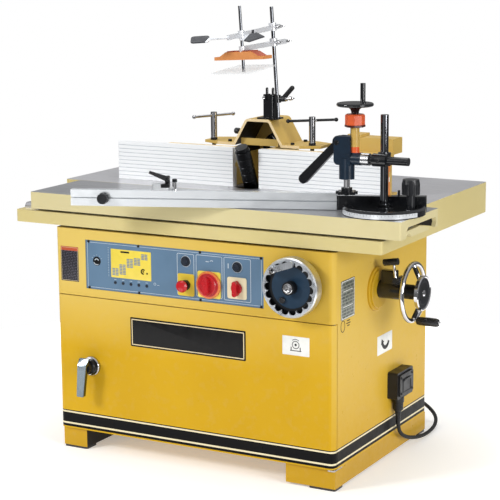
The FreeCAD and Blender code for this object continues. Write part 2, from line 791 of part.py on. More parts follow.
def pan(bottom, top, back):
    """Pressed front pan with rounded front corners, open behind."""
    def front_edge(middle):
        return middle.y < FRONT + CABINET_CORNER

    outer = block(CABINET_LEFT, CABINET_RIGHT, FRONT, back, bottom, top)
    outer = rounded(outer, CABINET_CORNER, Z_AXIS, front_edge)
    inner = block(CABINET_LEFT + SHEET, CABINET_RIGHT - SHEET, FRONT + SHEET, back + OVERRUN,
                  bottom + SHEET, top - SHEET)
    inner = rounded(inner, CABINET_CORNER - SHEET, Z_AXIS, front_edge)
    return outer.cut(inner)


def cabinet_shell():
    """Folded sheet cabinet with a front frame, a seat frame for the casting and vents behind."""
    def rear_edge(middle):
        return middle.y > CABINET_REAR - CABINET_CORNER

    outer = block(CABINET_LEFT, CABINET_RIGHT, SHELL_FRONT, CABINET_REAR, CABINET_BOTTOM, CABINET_TOP)
    outer = rounded(outer, CABINET_CORNER, Z_AXIS, rear_edge)
    inner = block(CABINET_LEFT + SHEET, CABINET_RIGHT - SHEET, SHELL_FRONT + SHEET, CABINET_REAR - SHEET,
                  CABINET_BOTTOM + SHEET, CABINET_TOP - SHEET)
    inner = rounded(inner, CABINET_CORNER - SHEET, Z_AXIS, rear_edge)
    window_left = CABINET_LEFT + DOOR_WINDOW_MARGIN
    window_right = CABINET_RIGHT - DOOR_WINDOW_MARGIN
    wall_near = SHELL_FRONT - OVERRUN
    wall_far = SHELL_FRONT + SHEET + OVERRUN
    door_window = block(window_left, window_right, wall_near, wall_far,
                        CABINET_BOTTOM + DOOR_WINDOW_MARGIN, DOOR_TOP - WINDOW_RAIL)
    panel_window = block(PANEL_LEFT + WINDOW_RAIL, PANEL_RIGHT - WINDOW_RAIL, wall_near, wall_far,
                         PANEL_BOTTOM + WINDOW_RAIL, PANEL_TOP - WINDOW_RAIL)
    lift_hole = rod(point(LIFT_X, wall_near, LIFT_Z), Y_AXIS, LIFT_BEARING_RADIUS + SEAT_GAP,
                    SHEET + 2 * OVERRUN)
    tilt_hole = rod(point(CABINET_RIGHT - SHEET - OVERRUN, TILT_Y, TILT_Z), X_AXIS,
                    TILT_SHAFT_RADIUS + OVERRUN, SHEET + 2 * OVERRUN)
    gland_hole = rod(point(GLAND_X, CABINET_REAR - SHEET - OVERRUN, GLAND_Z), Y_AXIS,
                     GLAND_RADIUS, SHEET + 2 * OVERRUN)
    top_opening = block(-TOP_OPENING_LEFT, TOP_OPENING_RIGHT, -TOP_OPENING_FRONT, TOP_OPENING_BACK,
                        CABINET_TOP - SHEET - OVERRUN, CABINET_TOP + OVERRUN)
    cutters = [inner, door_window, panel_window, lift_hole, tilt_hole, gland_hole, top_opening]
    for index in range(VENT_COUNT):
        bottom = VENT_MIDDLE_Z + VENT_PITCH * (index - (VENT_COUNT - 1) / 2) - VENT_HEIGHT / 2
        cutters.append(block(VENT_MIDDLE_X - VENT_WIDTH / 2, VENT_MIDDLE_X + VENT_WIDTH / 2,
                             CABINET_REAR - SHEET - OVERRUN, CABINET_REAR + OVERRUN,
                             bottom, bottom + VENT_HEIGHT))
    shell = without(outer, cutters)
    near = SEAT_INSET
    far = SEAT_INSET + SEAT_WIDTH
    seat = block(CABINET_LEFT + near, CABINET_RIGHT - near, SHELL_FRONT + near, CABINET_REAR - near,
                 CABINET_TOP, CASTING_BOTTOM)
    seat_hole = block(CABINET_LEFT + far, CABINET_RIGHT - far, SHELL_FRONT + far, CABINET_REAR - far,
                      CABINET_TOP - OVERRUN, CASTING_BOTTOM + OVERRUN)
    add("cabinet_shell", joined([shell, seat.cut(seat_hole)]))


def front_fascia():
    """Upper front pan with the recess of the control panel and the hole of the lift shaft."""
    shell = pan(FASCIA_BOTTOM, CABINET_TOP, SHELL_FRONT)
    near = FRONT - OVERRUN
    opening = block(PANEL_LEFT, PANEL_RIGHT, near, FRONT + SHEET, PANEL_BOTTOM, PANEL_TOP)
    ledge_outer = block(PANEL_LEFT - PANEL_LEDGE, PANEL_RIGHT + PANEL_LEDGE, PANEL_BACK, PANEL_BACK + SHEET,
                        PANEL_BOTTOM - PANEL_LEDGE, PANEL_TOP + PANEL_LEDGE)
    ledge_inner = block(PANEL_LEFT + PANEL_LEDGE, PANEL_RIGHT - PANEL_LEDGE, near,
                        PANEL_BACK + SHEET + OVERRUN,
                        PANEL_BOTTOM + PANEL_LEDGE, PANEL_TOP - PANEL_LEDGE)
    shaft_hole = rod(point(LIFT_X, near, LIFT_Z), Y_AXIS, LIFT_BEARING_RADIUS + SEAT_GAP, PAN_DEPTH)
    pin_hole = rod(point(HINGE_X, HINGE_Y, FASCIA_BOTTOM - OVERRUN), Z_AXIS, PIVOT_PIN_RADIUS,
                   SHEET + OVERRUN)
    shell = joined([shell.cut(opening), ledge_outer.cut(ledge_inner)])
    add("front_fascia", without(shell, [shaft_hole, pin_hole]))


def door():
    """Lower front pan with pivot bushes in its right-hand corners and a hole for the handle."""
    shell = pan(DOOR_BOTTOM, DOOR_TOP, FRONT + PAN_DEPTH)
    bushes = []
    for bottom in (DOOR_BOTTOM + SHEET, DOOR_TOP - SHEET - PIVOT_BUSH_HEIGHT):
        bushes.append(block(HINGE_X - PIVOT_BUSH_WIDTH, CABINET_RIGHT - SHEET, FRONT + SHEET,
                            FRONT + PAN_DEPTH - SHEET / 2, bottom, bottom + PIVOT_BUSH_HEIGHT))
    inner_round = block(CABINET_LEFT, CABINET_RIGHT, FRONT, FRONT + PAN_DEPTH, DOOR_BOTTOM, DOOR_TOP)
    inner_round = rounded(inner_round, CABINET_CORNER, Z_AXIS,
                          lambda middle: middle.y < FRONT + CABINET_CORNER)
    bushes = [bush.common(inner_round) for bush in bushes]
    pivot_hole = rod(point(HINGE_X, HINGE_Y, DOOR_BOTTOM - OVERRUN), Z_AXIS, PIVOT_PIN_RADIUS + RUNNING_FIT,
                     DOOR_TOP - DOOR_BOTTOM + 2 * OVERRUN)
    handle_hole = rod(point(HANDLE_X, FRONT - OVERRUN, HANDLE_Z), Y_AXIS,
                      HANDLE_SPINDLE_RADIUS + MOVING_GAP,
                      PAN_DEPTH)
    add("door", without(joined([shell] + bushes), [pivot_hole, handle_hole]))


def door_hinges():
    """Upper pivot pin in the fascia, and lower pin on a bracket under the cabinet."""
    upper = rod(point(HINGE_X, HINGE_Y, DOOR_TOP - PIVOT_BUSH_HEIGHT), Z_AXIS, PIVOT_PIN_RADIUS,
                FASCIA_BOTTOM + SHEET - DOOR_TOP + PIVOT_BUSH_HEIGHT)
    front = FRONT + PIVOT_BRACKET_SETBACK
    bracket = block(CABINET_RIGHT - PIVOT_BRACKET_WIDTH, CABINET_RIGHT, front, front + PIVOT_BRACKET_DEPTH,
                    CABINET_BOTTOM - PIVOT_BRACKET_THICKNESS, CABINET_BOTTOM)
    bracket = rounded(bracket, PIVOT_SETBACK_X, Z_AXIS, lambda middle: middle.y < HINGE_Y)
    lower = rod(point(HINGE_X, HINGE_Y, CABINET_BOTTOM), Z_AXIS, PIVOT_PIN_RADIUS,
                DOOR_BOTTOM_GAP + SHEET + PIVOT_BUSH_HEIGHT)
    add("door_hinges", upper, joined([bracket, lower]))


def door_handle():
    """Rose, wing handle and, behind the door, the latch bar on the same spindle."""
    base = point(HANDLE_X, FRONT - SEAT_GAP, HANDLE_Z)
    rose = turned_shares(ROSE_SHARES, HANDLE_ROSE_RADIUS, HANDLE_ROSE_HEIGHT, base, -Y_AXIS)
    latch_back = SHELL_FRONT + SHEET
    spindle_end = base - Y_AXIS * (HANDLE_ARM_STANDOFF + HANDLE_ARM_THICKNESS / 2)
    spindle = bar_between(point(HANDLE_X, latch_back, HANDLE_Z), spindle_end, HANDLE_SPINDLE_RADIUS)
    near = base.y - HANDLE_ARM_STANDOFF
    root = HANDLE_ARM_ROOT / 2
    tip = HANDLE_ARM_TIP / 2
    arm = joined([
        rod(point(HANDLE_X, near, HANDLE_Z), -Y_AXIS, root, HANDLE_ARM_THICKNESS),
        prism([point(HANDLE_X, near, HANDLE_Z - root),
               point(HANDLE_X + HANDLE_ARM_LENGTH, near, HANDLE_Z - tip),
               point(HANDLE_X + HANDLE_ARM_LENGTH, near, HANDLE_Z + tip),
               point(HANDLE_X, near, HANDLE_Z + root)],
              -Y_AXIS * HANDLE_ARM_THICKNESS),
        rod(point(HANDLE_X + HANDLE_ARM_LENGTH, near, HANDLE_Z), -Y_AXIS, tip, HANDLE_ARM_THICKNESS),
    ])
    arm = spun(arm, base, Y_AXIS, -HANDLE_ANGLE)
    latch_end = CABINET_LEFT + DOOR_WINDOW_MARGIN + LATCH_SETBACK
    latch = block(latch_end, HANDLE_X + LATCH_WIDTH / 2, latch_back - LATCH_THICKNESS, latch_back,
                  HANDLE_Z - LATCH_WIDTH / 2, HANDLE_Z + LATCH_WIDTH / 2)
    add("door_handle", joined([spindle, rose, arm, latch]))


def skid_spans():
    left = CABINET_LEFT + SKID_LEFT_INSET
    return [(left, left + SKID_LEFT_WIDTH), (CABINET_RIGHT - SKID_RIGHT_WIDTH, CABINET_RIGHT)]


def base_skids():
    """Two welded channel skids, open below, with a notch in the right one for the pivot bracket."""
    front = FRONT + SKID_END_INSET
    back = CABINET_REAR - SKID_END_INSET
    notch = block(CABINET_RIGHT - PIVOT_BRACKET_WIDTH - SEAT_GAP, CABINET_RIGHT + OVERRUN, front - OVERRUN,
                  FRONT + PIVOT_BRACKET_SETBACK + PIVOT_BRACKET_DEPTH + SEAT_GAP,
                  CABINET_BOTTOM - PIVOT_BRACKET_THICKNESS - SEAT_GAP, CABINET_BOTTOM + OVERRUN)
    skids = []
    for left, right in skid_spans():
        outer = block(left, right, front, back, PAD_HEIGHT, CABINET_BOTTOM)
        inner = block(left + SKID_WALL, right - SKID_WALL, front + SKID_WALL, back - SKID_WALL,
                      PAD_HEIGHT - OVERRUN, CABINET_BOTTOM - SKID_WALL)
        skid = outer.cut(inner)
        if right - left > PAD_LENGTH:
            web = right - PAD_LENGTH
            skid = joined([skid, block(web, web + SKID_WALL, front, back, PAD_HEIGHT, CABINET_BOTTOM)])
        skids.append(skid.cut(notch))
    add("base_skids", *skids)


def levelling_pads():
    """Pads under the ends of the skids, each with its stud."""
    front = FRONT + SKID_END_INSET
    back = CABINET_REAR - SKID_END_INSET
    pads = []
    for left, right in [skid_spans()[0], (CABINET_RIGHT - PAD_LENGTH, CABINET_RIGHT)]:
        for near in (front, back - PAD_DEPTH):
            plate = block(left, left + PAD_LENGTH, near, near + PAD_DEPTH, 0, PAD_HEIGHT)
            plate = rounded(plate, PAD_CORNER, Z_AXIS, all_edges)
            stud = rod(point(left + PAD_LENGTH / 2, near + PAD_DEPTH / 2, PAD_HEIGHT), Z_AXIS,
                       PAD_STUD_RADIUS, CABINET_BOTTOM - SKID_WALL - PAD_HEIGHT)
            pads.append(joined([plate, stud]))
    add("levelling_pads", *pads)


def table_casting():
    """L-shaped casting with ribs below, two bearers for the trunnions and a rebated spindle hole."""
    outline = [point(CASTING_LEFT, FRONT, CASTING_BOTTOM), point(CASTING_LEFT, FRONT, BED_TOP),
               point(CASTING_LEFT, STEP, BED_TOP), point(CASTING_LEFT, STEP, TABLE_HEIGHT),
               point(CASTING_LEFT, BACK, TABLE_HEIGHT), point(CASTING_LEFT, BACK, CASTING_BOTTOM)]
    body = prism(outline, X_AXIS * CASTING_LENGTH)
    body = rounded(body, CASTING_CORNER, Z_AXIS, all_edges)
    bearer_in = BEARER_MIDDLE - BEARER_WIDTH / 2
    bearer_out = BEARER_MIDDLE + BEARER_WIDTH / 2
    edge = CASTING_RIGHT - CASTING_SKIRT
    spans = [(-bearer_in, bearer_in)]
    start = bearer_out
    while start < edge:
        end = min(start + SIDE_RIB_PITCH - SIDE_RIB, edge)
        spans.append((start, end))
        spans.append((-end, -start))
        start = end + SIDE_RIB
    cutters = []
    for left, right in spans:
        cutters.append(block(left, right, STEP + CASTING_SKIRT, BACK - CASTING_SKIRT,
                             CASTING_BOTTOM - OVERRUN, TABLE_HEIGHT - TABLE_PLATE))
        cutters.append(block(left, right, FRONT + CASTING_SKIRT, STEP,
                             CASTING_BOTTOM - OVERRUN, CASTING_BOTTOM + BED_POCKET_DEPTH))
    cutters.append(rod(point(0, PIVOT_Y, TABLE_HEIGHT - TABLE_PLATE - OVERRUN), Z_AXIS, SPINDLE_HOLE_RADIUS,
                       TABLE_PLATE + 2 * OVERRUN))
    cutters.append(rod(point(0, PIVOT_Y, TABLE_HEIGHT - RING_THICKNESS), Z_AXIS, RING_RADIUS,
                       RING_THICKNESS + OVERRUN))
    add("table_casting", without(body, cutters))


def table_ring():
    """Ring in the rebate round the spindle, with a bevelled mouth."""
    outer = RING_RADIUS - SEAT_GAP
    outline = [(RING_HOLE_RADIUS, 0), (outer, 0), (outer, RING_THICKNESS),
               (RING_HOLE_RADIUS + RING_THICKNESS / 2, RING_THICKNESS),
               (RING_HOLE_RADIUS, RING_THICKNESS / 2)]
    add("table_ring", turned(outline, point(0, PIVOT_Y, TABLE_HEIGHT - RING_THICKNESS), Z_AXIS))


def rail_outline(x, line, gap):
    """Section of a guide rail, grown all round by a gap."""
    width = RAIL_WIDTH + 2 * gap
    height = RAIL_HEIGHT + gap
    return [point(x, line + width * across, BED_TOP + height * up) for across, up in RAIL_SHARES]


def slide_rails():
    """Two bevelled guide rails on the bed."""
    length = CASTING_LENGTH - 2 * CASTING_CORNER
    left = CASTING_LEFT + CASTING_CORNER
    add("slide_rails", *[prism(rail_outline(left, line, 0), X_AXIS * length) for line in RAIL_LINES])


def sliding_table():
    """Sliding table, hollow below, with guide shoulders over the rails and tapered openings in its ends."""
    body = block(SLIDE_LEFT, SLIDE_RIGHT, FRONT, SLIDE_REAR, SLIDE_BOTTOM, TABLE_HEIGHT)
    body = rounded(body, SLIDE_CORNER, Z_AXIS, all_edges)
    ceiling = TABLE_HEIGHT - SLIDE_PLATE
    hollow = block(SLIDE_LEFT + SLIDE_SKIRT, SLIDE_RIGHT - SLIDE_SKIRT, FRONT + SLIDE_SKIRT,
                   SLIDE_REAR - SLIDE_SKIRT,
                   SLIDE_BOTTOM - OVERRUN, ceiling)
    body = body.cut(hollow)
    shoulders = []
    grooves = []
    for line in RAIL_LINES:
        shoulders.append(block(SLIDE_LEFT + SHOULDER_SETBACK, SLIDE_RIGHT - SHOULDER_SETBACK,
                               line - RAIL_SHOULDER / 2, line + RAIL_SHOULDER / 2, SLIDE_BOTTOM, ceiling))
        grooves.append(prism(rail_outline(SLIDE_LEFT - OVERRUN, line, MOVING_GAP),
                             X_AXIS * (SLIDE_LENGTH + 2 * OVERRUN)))
    near = FRONT + END_SLOT_FRONT
    width = SLIDE_REAR - END_SLOT_REAR - near
    height = ceiling - SLIDE_BOTTOM
    slots = []
    for start in (SLIDE_LEFT - OVERRUN, SLIDE_RIGHT - SLIDE_SKIRT - OVERRUN):
        corners = [point(start, near + width * across, TABLE_HEIGHT - END_SLOT_DROP - height * down)
                   for across, down in END_SLOT_SHARES]
        slots.append(prism(corners, X_AXIS * (SLIDE_SKIRT + 2 * OVERRUN)))
    add("sliding_table", without(joined([body] + shoulders), grooves + slots))


def control_panel():
    """Panel plate, the three switch plates on it and the bezels of the push buttons."""
    plate = block(PANEL_LEFT + PANEL_GAP, PANEL_RIGHT - PANEL_GAP, PANEL_FRONT, PANEL_BACK,
                  PANEL_BOTTOM + PANEL_GAP, PANEL_TOP - PANEL_GAP)
    places = [(STOP_X, STOP_Z), (MAINS_X, MAINS_Z), (SELECTOR_X, SELECTOR_Z), (START_X, START_Z),
              (RESET_X, RESET_Z)]
    reach = STOP_COLLAR_HEIGHT + 2 * OVERRUN
    holes = [rod(point(x, PANEL_BACK + OVERRUN, z), -Y_AXIS, CONTROL_HOLE_RADIUS, reach + OVERRUN)
             for x, z in places]
    solids = [without(plate, holes)]
    ring_height = SWITCH_PLATE_THICKNESS + MAINS_RING_HEIGHT
    plates = [(STOP_X, STOP_Z, STOP_PLATE, STOP_PLATE_HEIGHT, STOP_COLLAR_RADIUS, STOP_COLLAR_HEIGHT),
              (MAINS_X, MAINS_Z, MAINS_PLATE, MAINS_PLATE, MAINS_RING_RADIUS, ring_height),
              (SELECTOR_X, SELECTOR_Z, SELECTOR_PLATE, SELECTOR_PLATE, CONTROL_STEM_RADIUS,
               PANEL_THICKNESS)]
    for x, z, width, height, collar_radius, collar_height in plates:
        plaque = block(x - width / 2, x + width / 2, PANEL_FRONT - SWITCH_PLATE_THICKNESS, PANEL_FRONT,
                       z - height / 2, z + height / 2)
        plaque = rounded(plaque, SWITCH_PLATE_CORNER, Y_AXIS, all_edges)
        collar = rod(point(x, PANEL_FRONT, z), -Y_AXIS, collar_radius, collar_height)
        solids.append(without(joined([plaque, collar]), holes))
    for x, z in ((START_X, START_Z), (RESET_X, RESET_Z)):
        solids.append(without(rod(point(x, PANEL_FRONT, z), -Y_AXIS, BEZEL_RADIUS, BEZEL_HEIGHT), holes))
    add("control_panel", *solids)


def control_stem(x, z, standoff):
    """Stem of a panel control, from behind the panel to a standoff in front of it."""
    start = point(x, PANEL_FRONT - standoff, z)
    return rod(start, Y_AXIS, CONTROL_STEM_RADIUS, CONTROL_STEM_LENGTH + standoff)


def stop_button():
    head = turned_shares(MUSHROOM_SHARES, STOP_HEAD_RADIUS, STOP_HEAD_HEIGHT,
                         point(STOP_X, PANEL_FRONT - STOP_HEAD_START, STOP_Z), -Y_AXIS)
    add("stop_button", joined([head, control_stem(STOP_X, STOP_Z, STOP_HEAD_START)]))


def rotary_knob(x, z, standoff, radius, base_height, grip_width, grip_height, grip_reach):
    """Round knob with a raised upright finger grip."""
    start = point(x, PANEL_FRONT - standoff, z)
    base = turned_shares(KNOB_BASE_SHARES, radius, base_height, start, -Y_AXIS)
    grip = block(x - grip_width / 2, x + grip_width / 2, start.y - base_height - grip_height, start.y,
                 z - grip_reach, z + grip_reach)
    grip = rounded(grip, grip_width / 2 - MOVING_GAP, Y_AXIS, all_edges)
    return joined([base, grip, control_stem(x, z, standoff)])


def switch_knobs():
    mains_standoff = SWITCH_PLATE_THICKNESS + MAINS_RING_HEIGHT + KNOB_PLAY
    add("mains_knob", rotary_knob(MAINS_X, MAINS_Z, mains_standoff, MAINS_KNOB_RADIUS, MAINS_KNOB_BASE,
                                  MAINS_GRIP_WIDTH, MAINS_GRIP_HEIGHT, MAINS_GRIP_REACH))
    add("selector_knob", rotary_knob(SELECTOR_X, SELECTOR_Z, SWITCH_PLATE_THICKNESS + KNOB_PLAY,
                                     SELECTOR_KNOB_RADIUS, SELECTOR_KNOB_BASE, SELECTOR_GRIP_WIDTH,
                                     SELECTOR_GRIP_HEIGHT, SELECTOR_GRIP_REACH))


def push_buttons():
    length = CONTROL_STEM_LENGTH + BUTTON_STANDOFF
    for name, x, z in (("start_button", START_X, START_Z), ("reset_button", RESET_X, RESET_Z)):
        base = point(x, PANEL_FRONT + CONTROL_STEM_LENGTH, z)
        add(name, turned_shares(BUTTON_SHARES, CONTROL_STEM_RADIUS, length, base, -Y_AXIS))


def lift_wheel():
    """Handwheel for rise and fall: rim with a scalloped lip, disc with hub, shaft and folding handle."""
    centre = point(LIFT_X, FRONT - LIFT_STANDOFF, LIFT_Z)
    lip_back = LIFT_RIM_DEPTH - LIFT_LIP_THICKNESS
    inner = LIFT_RIM_RADIUS - LIFT_RIM_WALL
    edge = LIFT_LIP_THICKNESS / 2
    rim = turned([(inner, 0), (LIFT_RIM_RADIUS - edge, 0), (LIFT_RIM_RADIUS, edge),
                  (LIFT_RIM_RADIUS, LIFT_RIM_DEPTH - LIFT_LIP_THICKNESS),
                  (LIFT_RIM_RADIUS - edge, LIFT_RIM_DEPTH), (LIFT_LIP_RADIUS, LIFT_RIM_DEPTH),
                  (LIFT_LIP_RADIUS, lip_back), (inner, lip_back)], centre, -Y_AXIS)
    scallop = rod(centre + point(LIFT_LIP_RADIUS, 0, 0), -Y_AXIS, LIFT_SCALLOP_RADIUS,
                  LIFT_RIM_DEPTH + OVERRUN)
    rim = without(rim, ring_of(scallop, centre, Y_AXIS, LIFT_SCALLOP_COUNT))
    pivot = centre + point(LIFT_HANDLE_PIVOT_X, 0, LIFT_HANDLE_PIVOT_Z)
    back = LIFT_RIM_DEPTH + LIFT_HANDLE_CLEAR
    middle = back + LIFT_HANDLE_THICKNESS / 2
    half = LIFT_HANDLE_WIDTH / 2
    barrel = LIFT_HANDLE_THICKNESS / 2
    knuckle_half = half - LIFT_EAR - MOVING_GAP
    ears = []
    for side in (-1, 1):
        foot = pivot + point(-barrel, -lip_back, side * half - (LIFT_EAR if side > 0 else 0))
        ear = block(foot.x, foot.x + LIFT_HANDLE_THICKNESS, centre.y - middle, foot.y, foot.z,
                    foot.z + LIFT_EAR)
        cap = rod(point(pivot.x, centre.y - middle, foot.z), Z_AXIS, barrel, LIFT_EAR)
        ears.append(spun(joined([ear, cap]), pivot, Y_AXIS, -LIFT_HANDLE_ANGLE))
    add("lift_wheel_rim", joined([rim] + ears))
    disc_bore = LIFT_SHAFT_RADIUS + RUNNING_FIT
    disc_front = LIFT_DISC_BACK + LIFT_DISC_THICKNESS
    disc_middle = LIFT_DISC_BACK + LIFT_DISC_THICKNESS / 2
    disc = turned([(disc_bore, 0), (LIFT_HUB_RADIUS, 0), (LIFT_HUB_RADIUS, LIFT_DISC_BACK),
                   (inner, LIFT_DISC_BACK),
                   (inner, disc_middle), (LIFT_LIP_RADIUS, disc_front), (LIFT_HUB_RADIUS, disc_middle),
                   (LIFT_HUB_RADIUS, LIFT_HUB_FRONT), (disc_bore, LIFT_HUB_FRONT)], centre, -Y_AXIS)
    shaft = rod(centre - Y_AXIS * LIFT_HUB_FRONT, Y_AXIS, LIFT_SHAFT_RADIUS,
                LIFT_HUB_FRONT + LIFT_SHAFT_LENGTH)
    coupling = rod(centre + Y_AXIS * (LIFT_SHAFT_LENGTH - LIFT_COUPLING_LENGTH), Y_AXIS,
                   LIFT_COUPLING_RADIUS,
                   LIFT_COUPLING_LENGTH)
    add("lift_wheel_disc", disc, joined([shaft, coupling]))
    knuckle = rod(pivot + point(0, -middle, -knuckle_half), Z_AXIS, barrel, 2 * knuckle_half)
    neck = block(pivot.x, pivot.x + LIFT_HANDLE_THICKNESS, centre.y - back - LIFT_HANDLE_THICKNESS,
                 centre.y - back,
                 pivot.z - knuckle_half, pivot.z + knuckle_half)
    grip_start = pivot.x + LIFT_HANDLE_THICKNESS
    grip = block(grip_start, pivot.x + LIFT_HANDLE_LENGTH, centre.y - back - LIFT_HANDLE_THICKNESS,
                 centre.y - back,
                 pivot.z - half, pivot.z + half)
    grip = rounded(grip, half - MOVING_GAP, Y_AXIS, lambda place: place.x > grip_start)
    add("lift_handle", spun(joined([knuckle, neck, grip]), pivot, Y_AXIS, -LIFT_HANDLE_ANGLE))


def tilt_wheel():
    """Boss and bearing on the side, and the tilt handwheel with its dial, crank pin, grip and shaft."""
    centre = point(CABINET_RIGHT, TILT_Y, TILT_Z)
    bore = rod(centre - X_AXIS * OVERRUN, X_AXIS, TILT_SHAFT_RADIUS + RUNNING_FIT,
               TILT_HOUSING_END + 2 * OVERRUN)
    boss = turned_shares(BOSS_SHARES, TILT_BOSS_RADIUS, TILT_BOSS_HEIGHT, centre, X_AXIS)
    add("tilt_boss", boss.cut(bore))
    housing = rod(centre + X_AXIS * TILT_BOSS_HEIGHT, X_AXIS, TILT_HOUSING_RADIUS,
                  TILT_HOUSING_END - TILT_BOSS_HEIGHT)
    block_left = CABINET_RIGHT + LOCK_BLOCK_START
    lock_block = block(block_left, block_left + LOCK_BLOCK_LENGTH, TILT_Y - LOCK_BLOCK_WIDTH / 2,
                       TILT_Y + LOCK_BLOCK_WIDTH / 2, TILT_Z, TILT_Z + LOCK_BLOCK_RISE)
    lock_block = rounded(lock_block, LOCK_BLOCK_CORNER, X_AXIS, lambda middle: middle.z > TILT_Z)
    pin = lock_pin()
    lug = block(pin.x - LOCK_LUG_LENGTH / 2, pin.x + LOCK_LUG_LENGTH / 2, TILT_Y - LOCK_LUG_DEPTH / 2,
                TILT_Y + LOCK_LUG_DEPTH / 2, TILT_Z, TILT_Z + LOCK_LUG_RISE)
    lug = rounded(lug, LOCK_LUG_CORNER, Y_AXIS, lambda middle: middle.z > TILT_Z)
    lock_hole = rod(pin + Y_AXIS * LOCK_LUG_DEPTH, -Y_AXIS, LOCK_BORE_RADIUS, 2 * LOCK_LUG_DEPTH)
    housing = without(joined([housing, lock_block, lug]), [bore, lock_hole])
    lift_centre = point(LIFT_X, FRONT + SHEET, LIFT_Z)
    barrel = rod(lift_centre, Y_AXIS, LIFT_BEARING_RADIUS,
                 SHELL_FRONT + SHEET - lift_centre.y + LIFT_BEARING_LENGTH)
    flange = rod(point(LIFT_X, SHELL_FRONT + SHEET, LIFT_Z), Y_AXIS, LIFT_BEARING_FLANGE_RADIUS,
                 LIFT_BEARING_FLANGE)
    lift_bore = rod(lift_centre - Y_AXIS * OVERRUN, Y_AXIS, LIFT_SHAFT_RADIUS + RUNNING_FIT,
                    PAN_DEPTH + LIFT_BEARING_LENGTH + 2 * OVERRUN)
    add("shaft_bearings", housing, joined([barrel, flange]).cut(lift_bore))
    hub_bore = TILT_SHAFT_RADIUS + RUNNING_FIT
    hub_length = TILT_HUB_END - TILT_HUB_START
    hub = turned([(hub_bore, 0), (TILT_HUB_RADIUS, 0), (TILT_HUB_RADIUS, hub_length),
                  (hub_bore, hub_length)],
                 centre + X_AXIS * TILT_HUB_START, X_AXIS)
    rim_centre = centre + X_AXIS * TILT_RIM_PLANE
    rim = Part.makeTorus(TILT_RIM_RADIUS, TILT_RIM_SECTION, rim_centre, X_AXIS)
    arm_root = centre + X_AXIS * (TILT_HUB_END + TILT_DIAL_HEIGHT / 2) - Z_AXIS * TILT_ARM_ROOT
    arm_tip = rim_centre - Z_AXIS * TILT_RIM_RADIUS
    arms = ring_of(bar_between(arm_root, arm_tip, TILT_ARM_RADIUS), centre, X_AXIS, TILT_ARM_COUNT)
    dial = turned_shares(DIAL_SHARES, TILT_DIAL_RADIUS, TILT_DIAL_HEIGHT, centre + X_AXIS * TILT_HUB_END,
                         X_AXIS)
    pin = rod(arm_tip, X_AXIS, CRANK_PIN_RADIUS, CRANK_GRIP_START + CRANK_GRIP_LENGTH)
    wheel = joined([hub, dial, rim] + arms + [pin])
    gear_left = CHEEK_OUTSIDE - PINION_LENGTH
    shaft = rod(point(gear_left, TILT_Y, TILT_Z), X_AXIS, TILT_SHAFT_RADIUS,
                CABINET_RIGHT + TILT_HUB_END - gear_left)
    add("tilt_handwheel", wheel, joined([shaft, pinion(gear_left)]))
    grip = turned_shares(GRIP_SHARES, CRANK_GRIP_RADIUS, CRANK_GRIP_LENGTH,
                         arm_tip + X_AXIS * CRANK_GRIP_START, X_AXIS)
    grip_hole = rod(arm_tip, X_AXIS, CRANK_PIN_RADIUS + GRIP_FIT,
                    CRANK_GRIP_START + CRANK_GRIP_LENGTH + OVERRUN)
    add("crank_grip", grip.cut(grip_hole))


def lock_pin():
    """Middle of the lock screw in the lug on the bearing housing."""
    return point(CABINET_RIGHT + LOCK_LUG_MIDDLE, TILT_Y, TILT_Z + LOCK_PIN_RISE)


def tilt_lock_lever():
    """Clamping lever of the tilt: screw through the lug, hub in front, arm upwards and a cross grip."""
    middle = lock_pin()
    near = TILT_Y - LOCK_LUG_DEPTH / 2 - MOVING_GAP
    screw = rod(point(middle.x, TILT_Y + LOCK_LUG_DEPTH / 2, middle.z), -Y_AXIS,
                LOCK_BORE_RADIUS - RUNNING_FIT,
                LOCK_LUG_DEPTH + MOVING_GAP)
    hub = rod(point(middle.x, near, middle.z), -Y_AXIS, LOCK_HUB_RADIUS, LOCK_HUB_LENGTH)
    root = point(middle.x, near - LOCK_HUB_LENGTH / 2, middle.z)
    arm = rod(root, Z_AXIS, LOCK_LEVER_RADIUS, LOCK_LEVER_LENGTH)
    grip = rod(root + point(-LOCK_GRIP_LENGTH / 2 - LOCK_GRIP_OFFSET, 0, LOCK_LEVER_LENGTH), X_AXIS,
               LOCK_GRIP_RADIUS, LOCK_GRIP_LENGTH)
    lever = joined([screw, hub, arm, grip])
    add("tilt_lock_lever", spun(lever, middle, Y_AXIS, LOCK_LEVER_ANGLE))


def tooth(x0, x1, radius, root, inward):
    """One trapezium gear tooth standing on the Z axis, its pitch line at a radius."""
    pitch_half = math.pi * GEAR_MODULE * TOOTH_SHARE / 2
    tip = radius + ADDENDUM_SHARE * GEAR_MODULE
    slope = math.tan(math.radians(FLANK_ANGLE))
    tip_half = pitch_half - (tip - radius) * slope
    root_half = pitch_half + (radius - root) * slope
    corners = [point(x0, -root_half, root - inward), point(x0, root_half, root - inward),
               point(x0, tip_half, tip), point(x0, -tip_half, tip)]
    return prism(corners, X_AXIS * (x1 - x0))


def pinion(left):
    """Pinion on the tilt shaft, with a tooth gap facing the sector at rest."""
    right = left + PINION_LENGTH
    root = PINION_RADIUS - DEDENDUM_SHARE * GEAR_MODULE
    body = rod(point(left, 0, 0), X_AXIS, root, PINION_LENGTH)
    teeth = ring_of(tooth(left, right, PINION_RADIUS, root, GEAR_MODULE), point(0, 0, 0), X_AXIS,
                    PINION_TEETH)
    gear = joined([body] + teeth)
    gear = spun(gear, point(0, 0, 0), X_AXIS, 180 / PINION_TEETH + MESH_ANGLE)
    gear.translate(point(0, TILT_Y, TILT_Z))
    return gear


